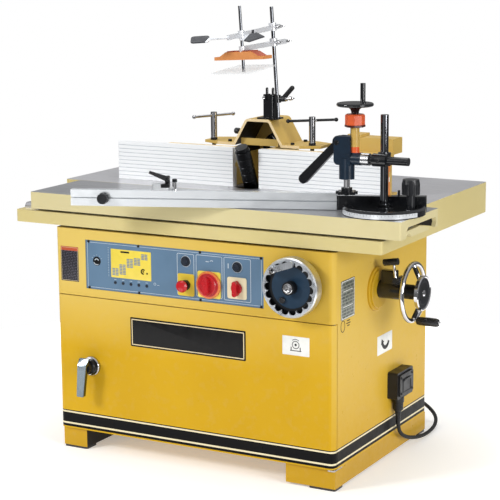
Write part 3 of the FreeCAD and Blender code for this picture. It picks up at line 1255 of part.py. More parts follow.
def annular_sector(x0, x1, inner, outer, angle0, angle1):
    """Part of a ring about the tilt line, between two angles from straight down towards the back."""
    def rim(radius, angle):
        turn = math.radians(angle)
        return SPINDLE_PIVOT + point(x0, radius * math.sin(turn), -radius * math.cos(turn))

    middle = (angle0 + angle1) / 2
    edges = [Part.Arc(rim(outer, angle0), rim(outer, middle), rim(outer, angle1)).toShape(),
             Part.LineSegment(rim(outer, angle1), rim(inner, angle1)).toShape(),
             Part.Arc(rim(inner, angle1), rim(inner, middle), rim(inner, angle0)).toShape(),
             Part.LineSegment(rim(inner, angle0), rim(outer, angle0)).toShape()]
    return Part.Face(Part.Wire(edges)).extrude(X_AXIS * (x1 - x0))


def trunnion_brackets():
    """Half-round ways bolted under the bearers; the right one carries the end bearing of the tilt shaft."""
    brackets = []
    for side in (-1, 1):
        middle = side * (CHEEK_OUTSIDE + MOVING_GAP + TRUNNION_THICKNESS / 2)
        x0 = middle - TRUNNION_THICKNESS / 2
        x1 = middle + TRUNNION_THICKNESS / 2
        way = annular_sector(x0, x1, TRUNNION_INNER, TRUNNION_OUTER,
                             -TRUNNION_HALF_ANGLE, TRUNNION_HALF_ANGLE)
        above = block(x0 - OVERRUN, x1 + OVERRUN, -CASTING_DEPTH, CASTING_DEPTH, CASTING_BOTTOM,
                      TABLE_HEIGHT + OVERRUN)
        way = way.cut(above)
        if side > 0:
            hanger = prism([SPINDLE_PIVOT + point(x0, -TRUNNION_INNER / 2, -TRUNNION_INNER),
                            SPINDLE_PIVOT + point(x0, 0, -TRUNNION_OUTER + SHOE_DEPTH / 2),
                            point(x0, TILT_Y + PINION_BOSS_RADIUS, TILT_Z),
                            point(x0, TILT_Y - PINION_BOSS_RADIUS, TILT_Z)], X_AXIS * TRUNNION_THICKNESS)
            boss = rod(point(x0, TILT_Y, TILT_Z), X_AXIS, PINION_BOSS_RADIUS, TRUNNION_THICKNESS)
            inside = annular_sector(x0 - OVERRUN, x1 + OVERRUN, OVERRUN, TRUNNION_INNER,
                                    -TRUNNION_HALF_ANGLE, TRUNNION_HALF_ANGLE)
            bore = rod(point(x0 - OVERRUN, TILT_Y, TILT_Z), X_AXIS, TILT_SHAFT_RADIUS + RUNNING_FIT,
                       TRUNNION_THICKNESS + 2 * OVERRUN)
            way = without(joined([way, hanger, boss]), [inside, bore])
        brackets.append(way)
    add("trunnion_brackets", *brackets)


def tilt_frame():
    """Cradle in the trunnions: sleeve of the quill, two cheeks with curved shoes and the toothed sector."""
    parts = [rod(on_spindle(0, 0, -SLEEVE_BOTTOM), Z_AXIS, SLEEVE_RADIUS, SLEEVE_BOTTOM - SLEEVE_TOP)]
    parts.append(block(-CHEEK_OUTSIDE, CHEEK_OUTSIDE, PIVOT_Y - SLEEVE_BLOCK_HALF_DEPTH,
                       PIVOT_Y + SLEEVE_BLOCK_HALF_DEPTH, TABLE_HEIGHT - CHEEK_BOTTOM,
                       TABLE_HEIGHT - TRUNNION_INNER))
    for side in (-1, 1):
        x0 = min(side * CHEEK_INSIDE, side * CHEEK_OUTSIDE)
        x1 = max(side * CHEEK_INSIDE, side * CHEEK_OUTSIDE)
        cheek = prism([on_spindle(x0, -CHEEK_HALF_DEPTH, -TRUNNION_INNER + SHOE_DEPTH),
                       on_spindle(x0, CHEEK_HALF_DEPTH, -TRUNNION_INNER + SHOE_DEPTH),
                       on_spindle(x0, SLEEVE_BLOCK_HALF_DEPTH, -CHEEK_BOTTOM),
                       on_spindle(x0, -SLEEVE_BLOCK_HALF_DEPTH, -CHEEK_BOTTOM)], X_AXIS * (x1 - x0))
        inside = min(side * CHEEK_INSIDE, side * (CHEEK_OUTSIDE + TRUNNION_THICKNESS))
        outside = max(side * CHEEK_INSIDE, side * (CHEEK_OUTSIDE + TRUNNION_THICKNESS))
        shoe = annular_sector(inside, outside, TRUNNION_INNER - SHOE_DEPTH, TRUNNION_INNER - MOVING_GAP,
                              -SHOE_HALF_ANGLE, SHOE_HALF_ANGLE)
        parts.append(cheek)
        parts.append(shoe)
    root = SECTOR_RADIUS - DEDENDUM_SHARE * GEAR_MODULE
    parts.append(annular_sector(CHEEK_INSIDE, CHEEK_OUTSIDE, root - SECTOR_DEPTH, root,
                                -SECTOR_FRONT_ANGLE, -SECTOR_BACK_ANGLE))
    web = prism([on_spindle(CHEEK_INSIDE, 0, -TRUNNION_INNER), on_spindle(CHEEK_INSIDE, 0, -CHEEK_BOTTOM),
                 on_spindle(CHEEK_INSIDE, -root * math.sin(math.radians(SECTOR_BACK_ANGLE)),
                            SECTOR_DEPTH / 2 - root * math.cos(math.radians(SECTOR_BACK_ANGLE))),
                 on_spindle(CHEEK_INSIDE,
                            (SECTOR_DEPTH / 2 - root) * math.sin(math.radians(SECTOR_FRONT_ANGLE)),
                            (SECTOR_DEPTH / 2 - root) * math.cos(math.radians(SECTOR_FRONT_ANGLE)))],
                X_AXIS * (CHEEK_OUTSIDE - CHEEK_INSIDE))
    lightening = annular_sector(CHEEK_INSIDE - OVERRUN, CHEEK_OUTSIDE + OVERRUN,
                                TRUNNION_INNER + SHOE_DEPTH,
                                root - SECTOR_DEPTH, -SECTOR_FRONT_ANGLE + SHOE_HALF_ANGLE / 2,
                                -SECTOR_BACK_ANGLE - SHOE_HALF_ANGLE / 2)
    parts.append(web.cut(lightening))
    pitch = math.degrees(math.pi * GEAR_MODULE / SECTOR_RADIUS)
    rest = MESH_ANGLE - REST_TILT
    base = tooth(CHEEK_INSIDE, CHEEK_OUTSIDE, SECTOR_RADIUS, root, GEAR_MODULE)
    base.rotate(point(0, 0, 0), X_AXIS, 180)
    base.translate(SPINDLE_PIVOT)
    first = math.ceil((-SECTOR_FRONT_ANGLE - rest) / pitch + TOOTH_SHARE)
    last = math.floor((-SECTOR_BACK_ANGLE - rest) / pitch - TOOTH_SHARE)
    for index in range(first, last + 1):
        parts.append(spun(base, SPINDLE_PIVOT, X_AXIS, rest + index * pitch))
    bore = rod(on_spindle(0, 0, -SLEEVE_BOTTOM - OVERRUN), Z_AXIS, QUILL_RADIUS + RUNNING_FIT,
               SLEEVE_BOTTOM - SLEEVE_TOP + 2 * OVERRUN)
    add("tilt_frame", tilted(joined(parts).cut(bore)))


def lift_carriage():
    """Quill in the sleeve, and the plate below it that carries the motor."""
    quill = rod(on_spindle(0, 0, -QUILL_BOTTOM), Z_AXIS, QUILL_RADIUS, QUILL_BOTTOM - QUILL_TOP)
    bottom = -QUILL_BOTTOM - CARRIAGE_PLATE
    left = MOTOR_X - MOTOR_RADIUS
    base = on_spindle(left, -CARRIAGE_HALF_DEPTH, bottom)
    plate = block(base.x, CARRIAGE_RIGHT, base.y, base.y + 2 * CARRIAGE_HALF_DEPTH, base.z,
                  base.z + CARRIAGE_PLATE)
    plate = rounded(plate, CARRIAGE_HALF_DEPTH / 2, Z_AXIS, all_edges)
    bore = rod(on_spindle(0, 0, bottom - OVERRUN), Z_AXIS, SPINDLE_RADIUS + RUNNING_FIT,
               QUILL_BOTTOM + CARRIAGE_PLATE + 2 * OVERRUN)
    motor_hole = rod(on_spindle(MOTOR_X, 0, bottom - OVERRUN), Z_AXIS, MOTOR_SHAFT_RADIUS + OVERRUN,
                     CARRIAGE_PLATE + 2 * OVERRUN)
    add("lift_carriage", tilted(without(joined([quill, plate]), [bore, motor_hole])))


def motor():
    """Motor standing on the carriage plate, with cooling ribs round its body."""
    base = on_spindle(MOTOR_X, 0, -QUILL_BOTTOM)
    cap = MOTOR_HEIGHT * MOTOR_CAP_SHARE
    body = turned([(0, 0), (MOTOR_RADIUS, 0), (MOTOR_RADIUS, MOTOR_HEIGHT - cap),
                   (MOTOR_RADIUS - cap, MOTOR_HEIGHT), (0, MOTOR_HEIGHT)], base, Z_AXIS)
    pitch = (MOTOR_HEIGHT - cap) / (MOTOR_FIN_COUNT + 1)
    grooves = []
    for index in range(MOTOR_FIN_COUNT):
        start = base + Z_AXIS * (pitch * (index + 1) - MOTOR_FIN_WIDTH / 2)
        grooves.append(tube(start, Z_AXIS, MOTOR_RADIUS + OVERRUN, MOTOR_RADIUS - MOTOR_FIN_DEPTH,
                            MOTOR_FIN_WIDTH))
    add("motor", tilted(without(body, grooves)))


def grooved_pulley(x, radius, shaft):
    """Flanged belt pulley below the carriage plate, on a shaft of its own body."""
    top = -QUILL_BOTTOM - CARRIAGE_PLATE - PULLEY_GAP
    flange = radius + PULLEY_FLANGE
    outline = [(0, 0), (flange, 0), (flange, PULLEY_RIM), (radius, PULLEY_RIM),
               (radius, PULLEY_HEIGHT - PULLEY_RIM), (flange, PULLEY_HEIGHT - PULLEY_RIM),
               (flange, PULLEY_HEIGHT), (0, PULLEY_HEIGHT)]
    wheel = turned(outline, on_spindle(x, 0, top - PULLEY_HEIGHT), Z_AXIS)
    return joined([wheel, shaft])


def motor_pulley():
    top = -QUILL_BOTTOM - CARRIAGE_PLATE - PULLEY_GAP
    shaft = rod(on_spindle(MOTOR_X, 0, top - PULLEY_HEIGHT), Z_AXIS, MOTOR_SHAFT_RADIUS,
                PULLEY_HEIGHT + PULLEY_GAP + CARRIAGE_PLATE - SEAT_GAP)
    add("motor_pulley", tilted(grooved_pulley(MOTOR_X, MOTOR_PULLEY_RADIUS, shaft)))


def spindle():
    """Spindle with its pulley, and the collars and nut on its nose."""
    shaft = rod(on_spindle(0, 0, -SPINDLE_TAIL), Z_AXIS, SPINDLE_RADIUS, SPINDLE_TAIL + COLLAR_TOP)
    add("spindle_shaft", tilted(grooved_pulley(0, SPINDLE_PULLEY_RADIUS, shaft)))
    pitch = (COLLAR_TOP + COLLAR_BOTTOM) / COLLAR_COUNT
    outline = [(SPINDLE_RADIUS, 0)]
    for index in range(COLLAR_COUNT):
        low = pitch * index
        high = low + pitch
        outline.append((COLLAR_RADIUS - COLLAR_GROOVE, low))
        outline.append((COLLAR_RADIUS, low + COLLAR_GROOVE))
        outline.append((COLLAR_RADIUS, high - COLLAR_GROOVE))
        outline.append((COLLAR_RADIUS - COLLAR_GROOVE, high))
    outline.append((SPINDLE_RADIUS, COLLAR_TOP + COLLAR_BOTTOM))
    collars = turned(outline, on_spindle(0, 0, -COLLAR_BOTTOM), Z_AXIS)
    nut_height = SPINDLE_NOSE - COLLAR_TOP
    nut = turned([(0, 0), (SPINDLE_NUT_RADIUS, 0), (SPINDLE_NUT_RADIUS, nut_height - COLLAR_GROOVE),
                  (SPINDLE_NUT_RADIUS - COLLAR_GROOVE, nut_height), (0, nut_height)],
                 on_spindle(0, 0, COLLAR_TOP), Z_AXIS)
    add("spindle_collars", tilted(collars), tilted(nut))


def belt_loop(gap, low, high):
    """Filled outline of the belt, grown from the pulleys by a gap, between two heights."""
    small = SPINDLE_PULLEY_RADIUS + gap
    large = MOTOR_PULLEY_RADIUS + gap
    span = abs(MOTOR_X)
    lean = math.asin((large - small) / span)
    across = math.cos(lean)
    along = math.sin(lean)
    corners = [on_spindle(small * along, small * across, low),
               on_spindle(MOTOR_X + large * along, large * across, low),
               on_spindle(MOTOR_X + large * along, -large * across, low),
               on_spindle(small * along, -small * across, low)]
    rise = Z_AXIS * (high - low)
    return joined([prism(corners, rise), rod(on_spindle(0, 0, low), Z_AXIS, small, high - low),
                   rod(on_spindle(MOTOR_X, 0, low), Z_AXIS, large, high - low)])


def drive_belt():
    """Flat belt round the two pulleys."""
    top = -QUILL_BOTTOM - CARRIAGE_PLATE - PULLEY_GAP - PULLEY_RIM - MOVING_GAP
    bottom = top - PULLEY_HEIGHT + 2 * (PULLEY_RIM + MOVING_GAP)
    outside = belt_loop(MOVING_GAP + BELT_THICKNESS, bottom, top)
    inside = belt_loop(MOVING_GAP, bottom - OVERRUN, top + OVERRUN)
    add("drive_belt", tilted(outside.cut(inside)))


def fence_plate(name, left, right):
    """Ribbed fence extrusion with a keyway along its back."""
    body = block(left, right, FENCE_FACE, FENCE_BACK, FENCE_BOTTOM, FENCE_TOP)
    pitch = FENCE_PLATE_HEIGHT / (FENCE_GROOVE_COUNT + 1)
    cutters = []
    for index in range(FENCE_GROOVE_COUNT):
        middle = FENCE_BOTTOM + pitch * (index + 1)
        corners = [point(left - OVERRUN, FENCE_FACE, middle - FENCE_GROOVE_WIDTH / 2),
                   point(left - OVERRUN, FENCE_FACE, middle + FENCE_GROOVE_WIDTH / 2),
                   point(left - OVERRUN, FENCE_FACE + FENCE_GROOVE_DEPTH, middle)]
        cutters.append(prism(corners, X_AXIS * (right - left + 2 * OVERRUN)))
    key = FENCE_BOTTOM + FENCE_PLATE_HEIGHT * FENCE_KEY_SHARE
    half = FENCE_KEYWAY_WIDTH / 2 + MOVING_GAP
    cutters.append(block(left - OVERRUN, right + OVERRUN, FENCE_BACK - FENCE_KEYWAY_DEPTH - MOVING_GAP,
                         FENCE_BACK + OVERRUN, key - half, key + half))
    add(name, without(body, cutters))


def arch_outline(y, inset, bottom):
    """Trapezium of the arch at a depth, drawn in by a wall."""
    slope = math.atan2(HOOD_ROOF - FLANGE_TOP, HOOD_BOTTOM_HALF - HOOD_TOP_HALF)
    top = HOOD_ROOF - inset
    shift = inset / math.sin(slope)
    fall = (HOOD_ROOF - bottom) / math.tan(slope)
    top_half = HOOD_TOP_HALF + inset / math.tan(slope) - shift
    low_half = HOOD_TOP_HALF + fall - shift
    return [point(HOOD_MIDDLE - low_half, y, bottom), point(HOOD_MIDDLE - top_half, y, top),
            point(HOOD_MIDDLE + top_half, y, top), point(HOOD_MIDDLE + low_half, y, bottom)]


def fence_hood():
    """Fence casting: arms with keys for the plates, chamber, arched roof with flanges, outlet and carrier."""
    depth = HOOD_BACK - HOOD_FRONT
    flange_bottom = FENCE_TOP + SEAT_GAP
    arm_front = FENCE_BACK + MOVING_GAP
    arm_back = arm_front + ARM_THICKNESS
    ridge = HOOD_ROOF - 2 * HOOD_WALL
    arch = prism(arch_outline(HOOD_FRONT, 0, flange_bottom), Y_AXIS * depth)
    arch = rounded(arch, HOOD_CORNER, Y_AXIS, lambda middle: middle.z > ridge)
    flange = prism([point(HOOD_MIDDLE - FLANGE_FRONT_HALF, HOOD_FRONT, flange_bottom),
                    point(HOOD_MIDDLE + FLANGE_FRONT_HALF, HOOD_FRONT, flange_bottom),
                    point(HOOD_MIDDLE + FLANGE_HALF, HOOD_FRONT + FLANGE_TAPER, flange_bottom),
                    point(HOOD_MIDDLE + FLANGE_HALF, HOOD_BACK - FLANGE_TAPER, flange_bottom),
                    point(HOOD_MIDDLE + FLANGE_FRONT_HALF, HOOD_BACK, flange_bottom),
                    point(HOOD_MIDDLE - FLANGE_FRONT_HALF, HOOD_BACK, flange_bottom),
                    point(HOOD_MIDDLE - FLANGE_HALF, HOOD_BACK - FLANGE_TAPER, flange_bottom),
                    point(HOOD_MIDDLE - FLANGE_HALF, HOOD_FRONT + FLANGE_TAPER, flange_bottom)],
                   Z_AXIS * FLANGE_THICKNESS)
    roof = joined([arch, flange])
    tunnel = prism(arch_outline(HOOD_FRONT - OVERRUN, HOOD_WALL, flange_bottom - OVERRUN),
                   Y_AXIS * (depth - HOOD_WALL + OVERRUN))
    tunnel = rounded(tunnel, HOOD_CORNER - HOOD_WALL, Y_AXIS, lambda middle: middle.z > ridge)
    roof = roof.cut(tunnel)
    key = FENCE_BOTTOM + FENCE_PLATE_HEIGHT * FENCE_KEY_SHARE
    solids = [roof]
    for left, right in ((ARM_OUTER_LEFT, CHAMBER_LEFT), (CHAMBER_RIGHT, ARM_OUTER_RIGHT)):
        arm = block(left, right, arm_front, arm_back, FENCE_BOTTOM, flange_bottom)
        tongue = block(left, right, FENCE_BACK - FENCE_KEYWAY_DEPTH, arm_front,
                       key - FENCE_KEYWAY_WIDTH / 2, key + FENCE_KEYWAY_WIDTH / 2)
        foot = block(left, right, arm_front, HOOD_FRONT + ARM_THICKNESS, FENCE_BOTTOM,
                     FENCE_BOTTOM + CHEEK_WALL)
        solids += [arm, tongue, foot]
    for left in (CHAMBER_LEFT - CHEEK_WALL, CHAMBER_RIGHT):
        solids.append(block(left, left + CHEEK_WALL, arm_front, HOOD_BACK, FENCE_BOTTOM, flange_bottom))
        foot_left = -SCREW_X - SCREW_COLLAR_RADIUS if left < 0 else left
        foot_right = left + CHEEK_WALL if left < 0 else SCREW_X + SCREW_COLLAR_RADIUS
        solids.append(block(foot_left, foot_right, arm_front, SCREW_Y + 2 * SCREW_COLLAR_RADIUS,
                            FENCE_BOTTOM, FENCE_BOTTOM + CHEEK_WALL))
    rear = block(CHAMBER_LEFT - CHEEK_WALL, CHAMBER_RIGHT + CHEEK_WALL, HOOD_BACK - CHEEK_WALL, HOOD_BACK,
                 FENCE_BOTTOM, flange_bottom)
    tie_front = HOOD_FRONT + HOOD_TIE_SETBACK
    tie = block(CHAMBER_LEFT - CHEEK_WALL, CHAMBER_RIGHT + CHEEK_WALL, tie_front, tie_front + HOOD_WALL,
                flange_bottom, flange_bottom + HOOD_TIE_HEIGHT)
    outlet = rod(point(HOOD_MIDDLE, HOOD_BACK - CHEEK_WALL, OUTLET_Z), Y_AXIS, OUTLET_RADIUS,
                 OUTLET_LENGTH + CHEEK_WALL)
    pedestal = prism([point(PEDESTAL_LEFT, PEDESTAL_FRONT, flange_bottom),
                      point(PEDESTAL_RIGHT, PEDESTAL_FRONT, flange_bottom),
                      point(PEDESTAL_RIGHT, PEDESTAL_FRONT, PEDESTAL_TOP - PEDESTAL_STEP),
                      point(PEDESTAL_STEP_X, PEDESTAL_FRONT, PEDESTAL_TOP - PEDESTAL_STEP),
                      point(PEDESTAL_STEP_X, PEDESTAL_FRONT, PEDESTAL_TOP),
                      point(PEDESTAL_LEFT, PEDESTAL_FRONT, PEDESTAL_TOP)],
                     Y_AXIS * (PEDESTAL_BACK - PEDESTAL_FRONT))
    pedestal_hollow = block(PEDESTAL_LEFT + PEDESTAL_WALL, PEDESTAL_RIGHT - PEDESTAL_WALL,
                            PEDESTAL_FRONT + PEDESTAL_WALL,
                            PEDESTAL_BACK - PEDESTAL_WALL, flange_bottom - OVERRUN,
                            PEDESTAL_TOP - PEDESTAL_STEP - PEDESTAL_WALL)
    pedestal_link = block(PEDESTAL_LEFT, PEDESTAL_RIGHT, arm_front, PEDESTAL_FRONT + PEDESTAL_WALL,
                          flange_bottom - PEDESTAL_WALL, flange_bottom + PEDESTAL_WALL)
    outlet_bore = rod(point(HOOD_MIDDLE, HOOD_BACK - CHEEK_WALL - OVERRUN, OUTLET_Z), Y_AXIS,
                      OUTLET_RADIUS - OUTLET_WALL, OUTLET_LENGTH + CHEEK_WALL + 2 * OVERRUN)
    screw_holes = [rod(point(side * SCREW_X, SCREW_Y, FENCE_BOTTOM - OVERRUN), Z_AXIS,
                       SCREW_RADIUS + MOVING_GAP,
                       FLANGE_TOP - FENCE_BOTTOM + 2 * OVERRUN) for side in (-1, 1)]
    hood = joined(solids + [rear, tie, outlet, pedestal.cut(pedestal_hollow), pedestal_link])
    add("fence_hood", without(hood, [outlet_bore] + screw_holes))


def fence_screws():
    """T-handle clamp screws that hold the fence down."""
    for name, side, angle in (("fence_screw_left", -1, TBAR_LEFT_ANGLE),
                              ("fence_screw_right", 1, TBAR_RIGHT_ANGLE)):
        foot = point(side * SCREW_X, SCREW_Y, FENCE_BOTTOM)
        shank = rod(foot, Z_AXIS, SCREW_RADIUS, FLANGE_TOP - foot.z + SCREW_COLLAR_HEIGHT)
        collar = rod(point(foot.x, foot.y, FLANGE_TOP + SEAT_GAP), Z_AXIS, SCREW_COLLAR_RADIUS,
                     SCREW_COLLAR_HEIGHT)
        post = rod(point(foot.x, foot.y, FLANGE_TOP + SCREW_COLLAR_HEIGHT), Z_AXIS, SCREW_POST_RADIUS,
                   SCREW_TOP - FLANGE_TOP - SCREW_COLLAR_HEIGHT)
        middle = point(foot.x, foot.y, SCREW_TOP - TBAR_DROP)
        bar = rod(middle - X_AXIS * TBAR_HALF_LENGTH, X_AXIS, TBAR_RADIUS, 2 * TBAR_HALF_LENGTH)
        balls = [Part.makeSphere(TBAR_BALL_RADIUS, middle + X_AXIS * TBAR_HALF_LENGTH * end) for end in (-1,
                1)]
        add(name, spun(joined([shank, collar, post, bar] + balls), middle, Z_AXIS, angle))


def guard_holder():
    """Forked holder on the hood with a base plate and the clamp that grips the post."""
    base = block(HOLDER_X - HOLDER_BASE_LENGTH / 2, HOLDER_X + HOLDER_BASE_LENGTH / 2,
                 POST_Y - HOLDER_BASE_DEPTH / 2,
                 POST_Y + HOLDER_BASE_DEPTH / 2, HOOD_ROOF, HOOD_ROOF + HOLDER_BASE_HEIGHT)
    base = rounded(base, HOLDER_BASE_HEIGHT, Z_AXIS, all_edges)
    column = block(HOLDER_X - HOLDER_WIDTH / 2, HOLDER_X + HOLDER_WIDTH / 2, POST_Y - HOLDER_DEPTH / 2,
                   POST_Y + HOLDER_DEPTH / 2, HOOD_ROOF, HOOD_ROOF + HOLDER_HEIGHT)
    column = rounded(column, HOLDER_BASE_HEIGHT, Z_AXIS, all_edges)
    slot = block(HOLDER_X - HOLDER_SLOT / 2, HOLDER_X + HOLDER_SLOT / 2, POST_Y - HOLDER_DEPTH,
                 POST_Y + HOLDER_DEPTH,
                 HOOD_ROOF + HOLDER_HEIGHT - HOLDER_PRONG, HOOD_ROOF + HOLDER_HEIGHT + OVERRUN)
    clamp = leaned(rod(on_guard(POST_X, POST_Y, HOLDER_CLAMP_BOTTOM), Z_AXIS, HOLDER_CLAMP_RADIUS,
                       HOLDER_CLAMP_HEIGHT))
    clamp_middle = HOLDER_CLAMP_BOTTOM + HOLDER_CLAMP_HEIGHT / 2
    pin = leaned(rod(on_guard(POST_X + POST_RADIUS + OVERRUN, POST_Y, clamp_middle), X_AXIS,
                     HOLDER_LEVER_PIN_RADIUS,
                     HOLDER_LEVER_PIN + HOLDER_LEVER_HUB_LENGTH))
    post_hole = leaned(rod(on_guard(POST_X, POST_Y, -OVERRUN), Z_AXIS, POST_RADIUS + RUNNING_FIT,
                           POST_HEIGHT + 2 * OVERRUN))
    below_roof = block(HOLDER_X - HOLDER_BASE_LENGTH, HOLDER_X + HOLDER_BASE_LENGTH,
                       POST_Y - HOLDER_BASE_DEPTH,
                       POST_Y + HOLDER_BASE_DEPTH, HOOD_ROOF - HOLDER_BASE_DEPTH, HOOD_ROOF)
    holder = joined([base, column.cut(slot), clamp, pin])
    add("guard_holder", without(holder, [post_hole, below_roof]))


def holder_lever():
    """Clamping lever beside the post clamp."""
    rise = HOLDER_CLAMP_BOTTOM + HOLDER_CLAMP_HEIGHT / 2
    start = POST_X + HOLDER_CLAMP_RADIUS + MOVING_GAP
    hub = rod(on_guard(start, POST_Y, rise), X_AXIS, HOLDER_LEVER_HUB, HOLDER_LEVER_HUB_LENGTH)
    root = on_guard(start + HOLDER_LEVER_HUB_LENGTH / 2, POST_Y, rise)
    turn = math.radians(HOLDER_LEVER_ANGLE)
    tip = root + point(HOLDER_LEVER_LENGTH * math.sin(turn), 0, HOLDER_LEVER_LENGTH * math.cos(turn))
    arm = joined([bar_between(root, tip, HOLDER_LEVER_RADIUS), Part.makeSphere(HOLDER_LEVER_RADIUS, tip)])
    bore = rod(on_guard(POST_X, POST_Y, rise), X_AXIS, HOLDER_LEVER_PIN_RADIUS + RUNNING_FIT,
               HOLDER_LEVER_LENGTH)
    add("holder_lever", leaned(joined([hub, arm]).cut(bore)))


def arm_point(reach, rise):
    """Point in front of the post, along the direction of the guard's arms."""
    turn = math.radians(ARM_DIRECTION)
    return on_guard(POST_X + reach * math.cos(turn), POST_Y + reach * math.sin(turn), rise)


def flat_bar(start, end, width, height):
    """Flat bar between two points, on edge."""
    span = end - start
    side = span.cross(Z_AXIS)
    side.normalize()
    half = side * (width / 2)
    drop = Z_AXIS * (height / 2)
    return prism([start + half - drop, start + half + drop, start - half + drop, start - half - drop], span)


def guard():
    """Post, arms with their clamps and pads, second rod, pressure shoe and clear plate."""
    post_foot = SEAT_GAP + POST_RADIUS * math.sin(math.radians(GUARD_LEAN))
    post = rod(on_guard(POST_X, POST_Y, post_foot), Z_AXIS, POST_RADIUS, POST_HEIGHT)
    add("guard_post", leaned(post))
    rod_slope = UPPER_ARM_DROP / UPPER_ARM_REACH
    upper_start = arm_point(-ARM_TAIL / 2, UPPER_ARM_HEIGHT)
    upper_end = arm_point(UPPER_ARM_REACH, UPPER_ARM_HEIGHT - UPPER_ARM_DROP)
    upper = flat_bar(upper_start, upper_end, UPPER_ARM_WIDTH, UPPER_ARM_THICKNESS)
    lower_start = arm_point(-ARM_TAIL, LOWER_ARM_HEIGHT)
    lower_end = arm_point(ROD_REACH, LOWER_ARM_HEIGHT - LOWER_ARM_DROP)
    lower = flat_bar(lower_start, lower_end, UPPER_ARM_WIDTH, UPPER_ARM_THICKNESS)
    clamps = []
    for rise in (UPPER_ARM_HEIGHT, LOWER_ARM_HEIGHT):
        clamps.append(rod(on_guard(POST_X, POST_Y, rise - ARM_CLAMP_HEIGHT / 2), Z_AXIS, ARM_CLAMP_RADIUS,
                          ARM_CLAMP_HEIGHT))
    rod_rise = UPPER_ARM_HEIGHT - ROD_REACH * rod_slope
    rod_foot = arm_point(ROD_REACH, 0)
    rod_clamp = rod(arm_point(ROD_REACH, rod_rise - ARM_CLAMP_HEIGHT / 2), Z_AXIS, ROD_CLAMP_RADIUS,
                    ARM_CLAMP_HEIGHT)
    shoe_top = SHOE_BOTTOM + SHOE_HEIGHT
    shoe_boss = rod(arm_point(ROD_REACH, shoe_top + MOVING_GAP), Z_AXIS, ROD_CLAMP_RADIUS,
                    LOWER_ARM_HEIGHT - LOWER_ARM_DROP + UPPER_ARM_THICKNESS / 2 - shoe_top)
    turn = math.radians(PAD_ARM_ANGLE)
    pad_direction = point(math.cos(turn), math.sin(turn), 0)
    pad_end = upper_end + pad_direction * PAD_ARM_LENGTH
    pad_arm = bar_between(upper_end - pad_direction * PAD_ARM_RADIUS, pad_end, PAD_ARM_RADIUS)
    paddle = block(0, PADDLE_LENGTH, -PADDLE_WIDTH / 2, PADDLE_WIDTH / 2, -PADDLE_THICKNESS / 2,
                   PADDLE_THICKNESS / 2)
    paddle = rounded(paddle, PADDLE_WIDTH / 4, Z_AXIS, all_edges)
    paddle_turn = FreeCAD.Rotation(Z_AXIS, PAD_ARM_ANGLE).multiply(FreeCAD.Rotation(X_AXIS, -PADDLE_PITCH))
    paddle.Placement = FreeCAD.Placement(pad_end - pad_direction * PAD_ARM_RADIUS, paddle_turn)
    leaf_root = rod_foot + Z_AXIS * (rod_rise - ARM_CLAMP_HEIGHT / 2)
    leaf = prism([leaf_root + point(0, -LEAF_WIDTH / 4, 0),
                  leaf_root + point(LEAF_LENGTH / 2, -LEAF_WIDTH / 2, 0),
                  leaf_root + point(LEAF_LENGTH, 0, 0),
                  leaf_root + point(LEAF_LENGTH / 2, LEAF_WIDTH / 2, 0),
                  leaf_root + point(0, LEAF_WIDTH / 4, 0)], Z_AXIS * PADDLE_THICKNESS)
    leaf = spun(leaf, leaf_root, X_AXIS, PADDLE_PITCH)
    post_bore = rod(on_guard(POST_X, POST_Y, 0), Z_AXIS, POST_RADIUS + RUNNING_FIT, 2 * POST_HEIGHT)
    rod_bore = rod(rod_foot, Z_AXIS, ROD_RADIUS + RUNNING_FIT, 2 * POST_HEIGHT)
    arms = [joined([upper, clamps[0], rod_clamp, pad_arm, paddle, leaf]),
            joined([lower, clamps[1], shoe_boss])]
    add("guard_arms", *[leaned(without(arm, [post_bore, rod_bore])) for arm in arms])
    shoe_rod = rod(arm_point(ROD_REACH, ROD_BOTTOM), Z_AXIS, ROD_RADIUS, ROD_TOP - ROD_BOTTOM)
    add("shoe_rod", leaned(shoe_rod))
    foot = SHOE_HEIGHT * SHOE_FOOT_SHARE
    corners = [(-0.5, 0), (0.5, 0), (0.5, foot), (SHOE_SLOPE_SHARE, foot), (SHOE_TOP_SHARE, SHOE_HEIGHT),
               (-SHOE_TOP_SHARE, SHOE_HEIGHT), (-SHOE_SLOPE_SHARE, foot), (-0.5, foot)]
    shoe_back = rod_foot + point(0, SHOE_WIDTH / 2, SHOE_BOTTOM)
    shoe = prism([shoe_back + point(SHOE_LENGTH * along_share, 0, rise) for along_share, rise in corners],
                 -Y_AXIS * SHOE_WIDTH)
    add("pressure_shoe", leaned(spun(shoe, rod_foot, Z_AXIS, SHOE_TURN).cut(rod_bore)))
    plate_middle = rod_foot + Z_AXIS * CLEAR_RISE
    corner = plate_middle - point(CLEAR_LENGTH / 2, CLEAR_DEPTH / 2, CLEAR_THICKNESS / 2)
    clear = block(corner.x, corner.x + CLEAR_LENGTH, corner.y, corner.y + CLEAR_DEPTH,
                  corner.z, corner.z + CLEAR_THICKNESS)
    clear = rounded(clear, CLEAR_THICKNESS * 2, Z_AXIS, all_edges)
    clear = spun(spun(clear, plate_middle, X_AXIS, CLEAR_PITCH), plate_middle, Z_AXIS, CLEAR_TURN)
    add("clear_plate", leaned(clear.cut(rod_bore)))


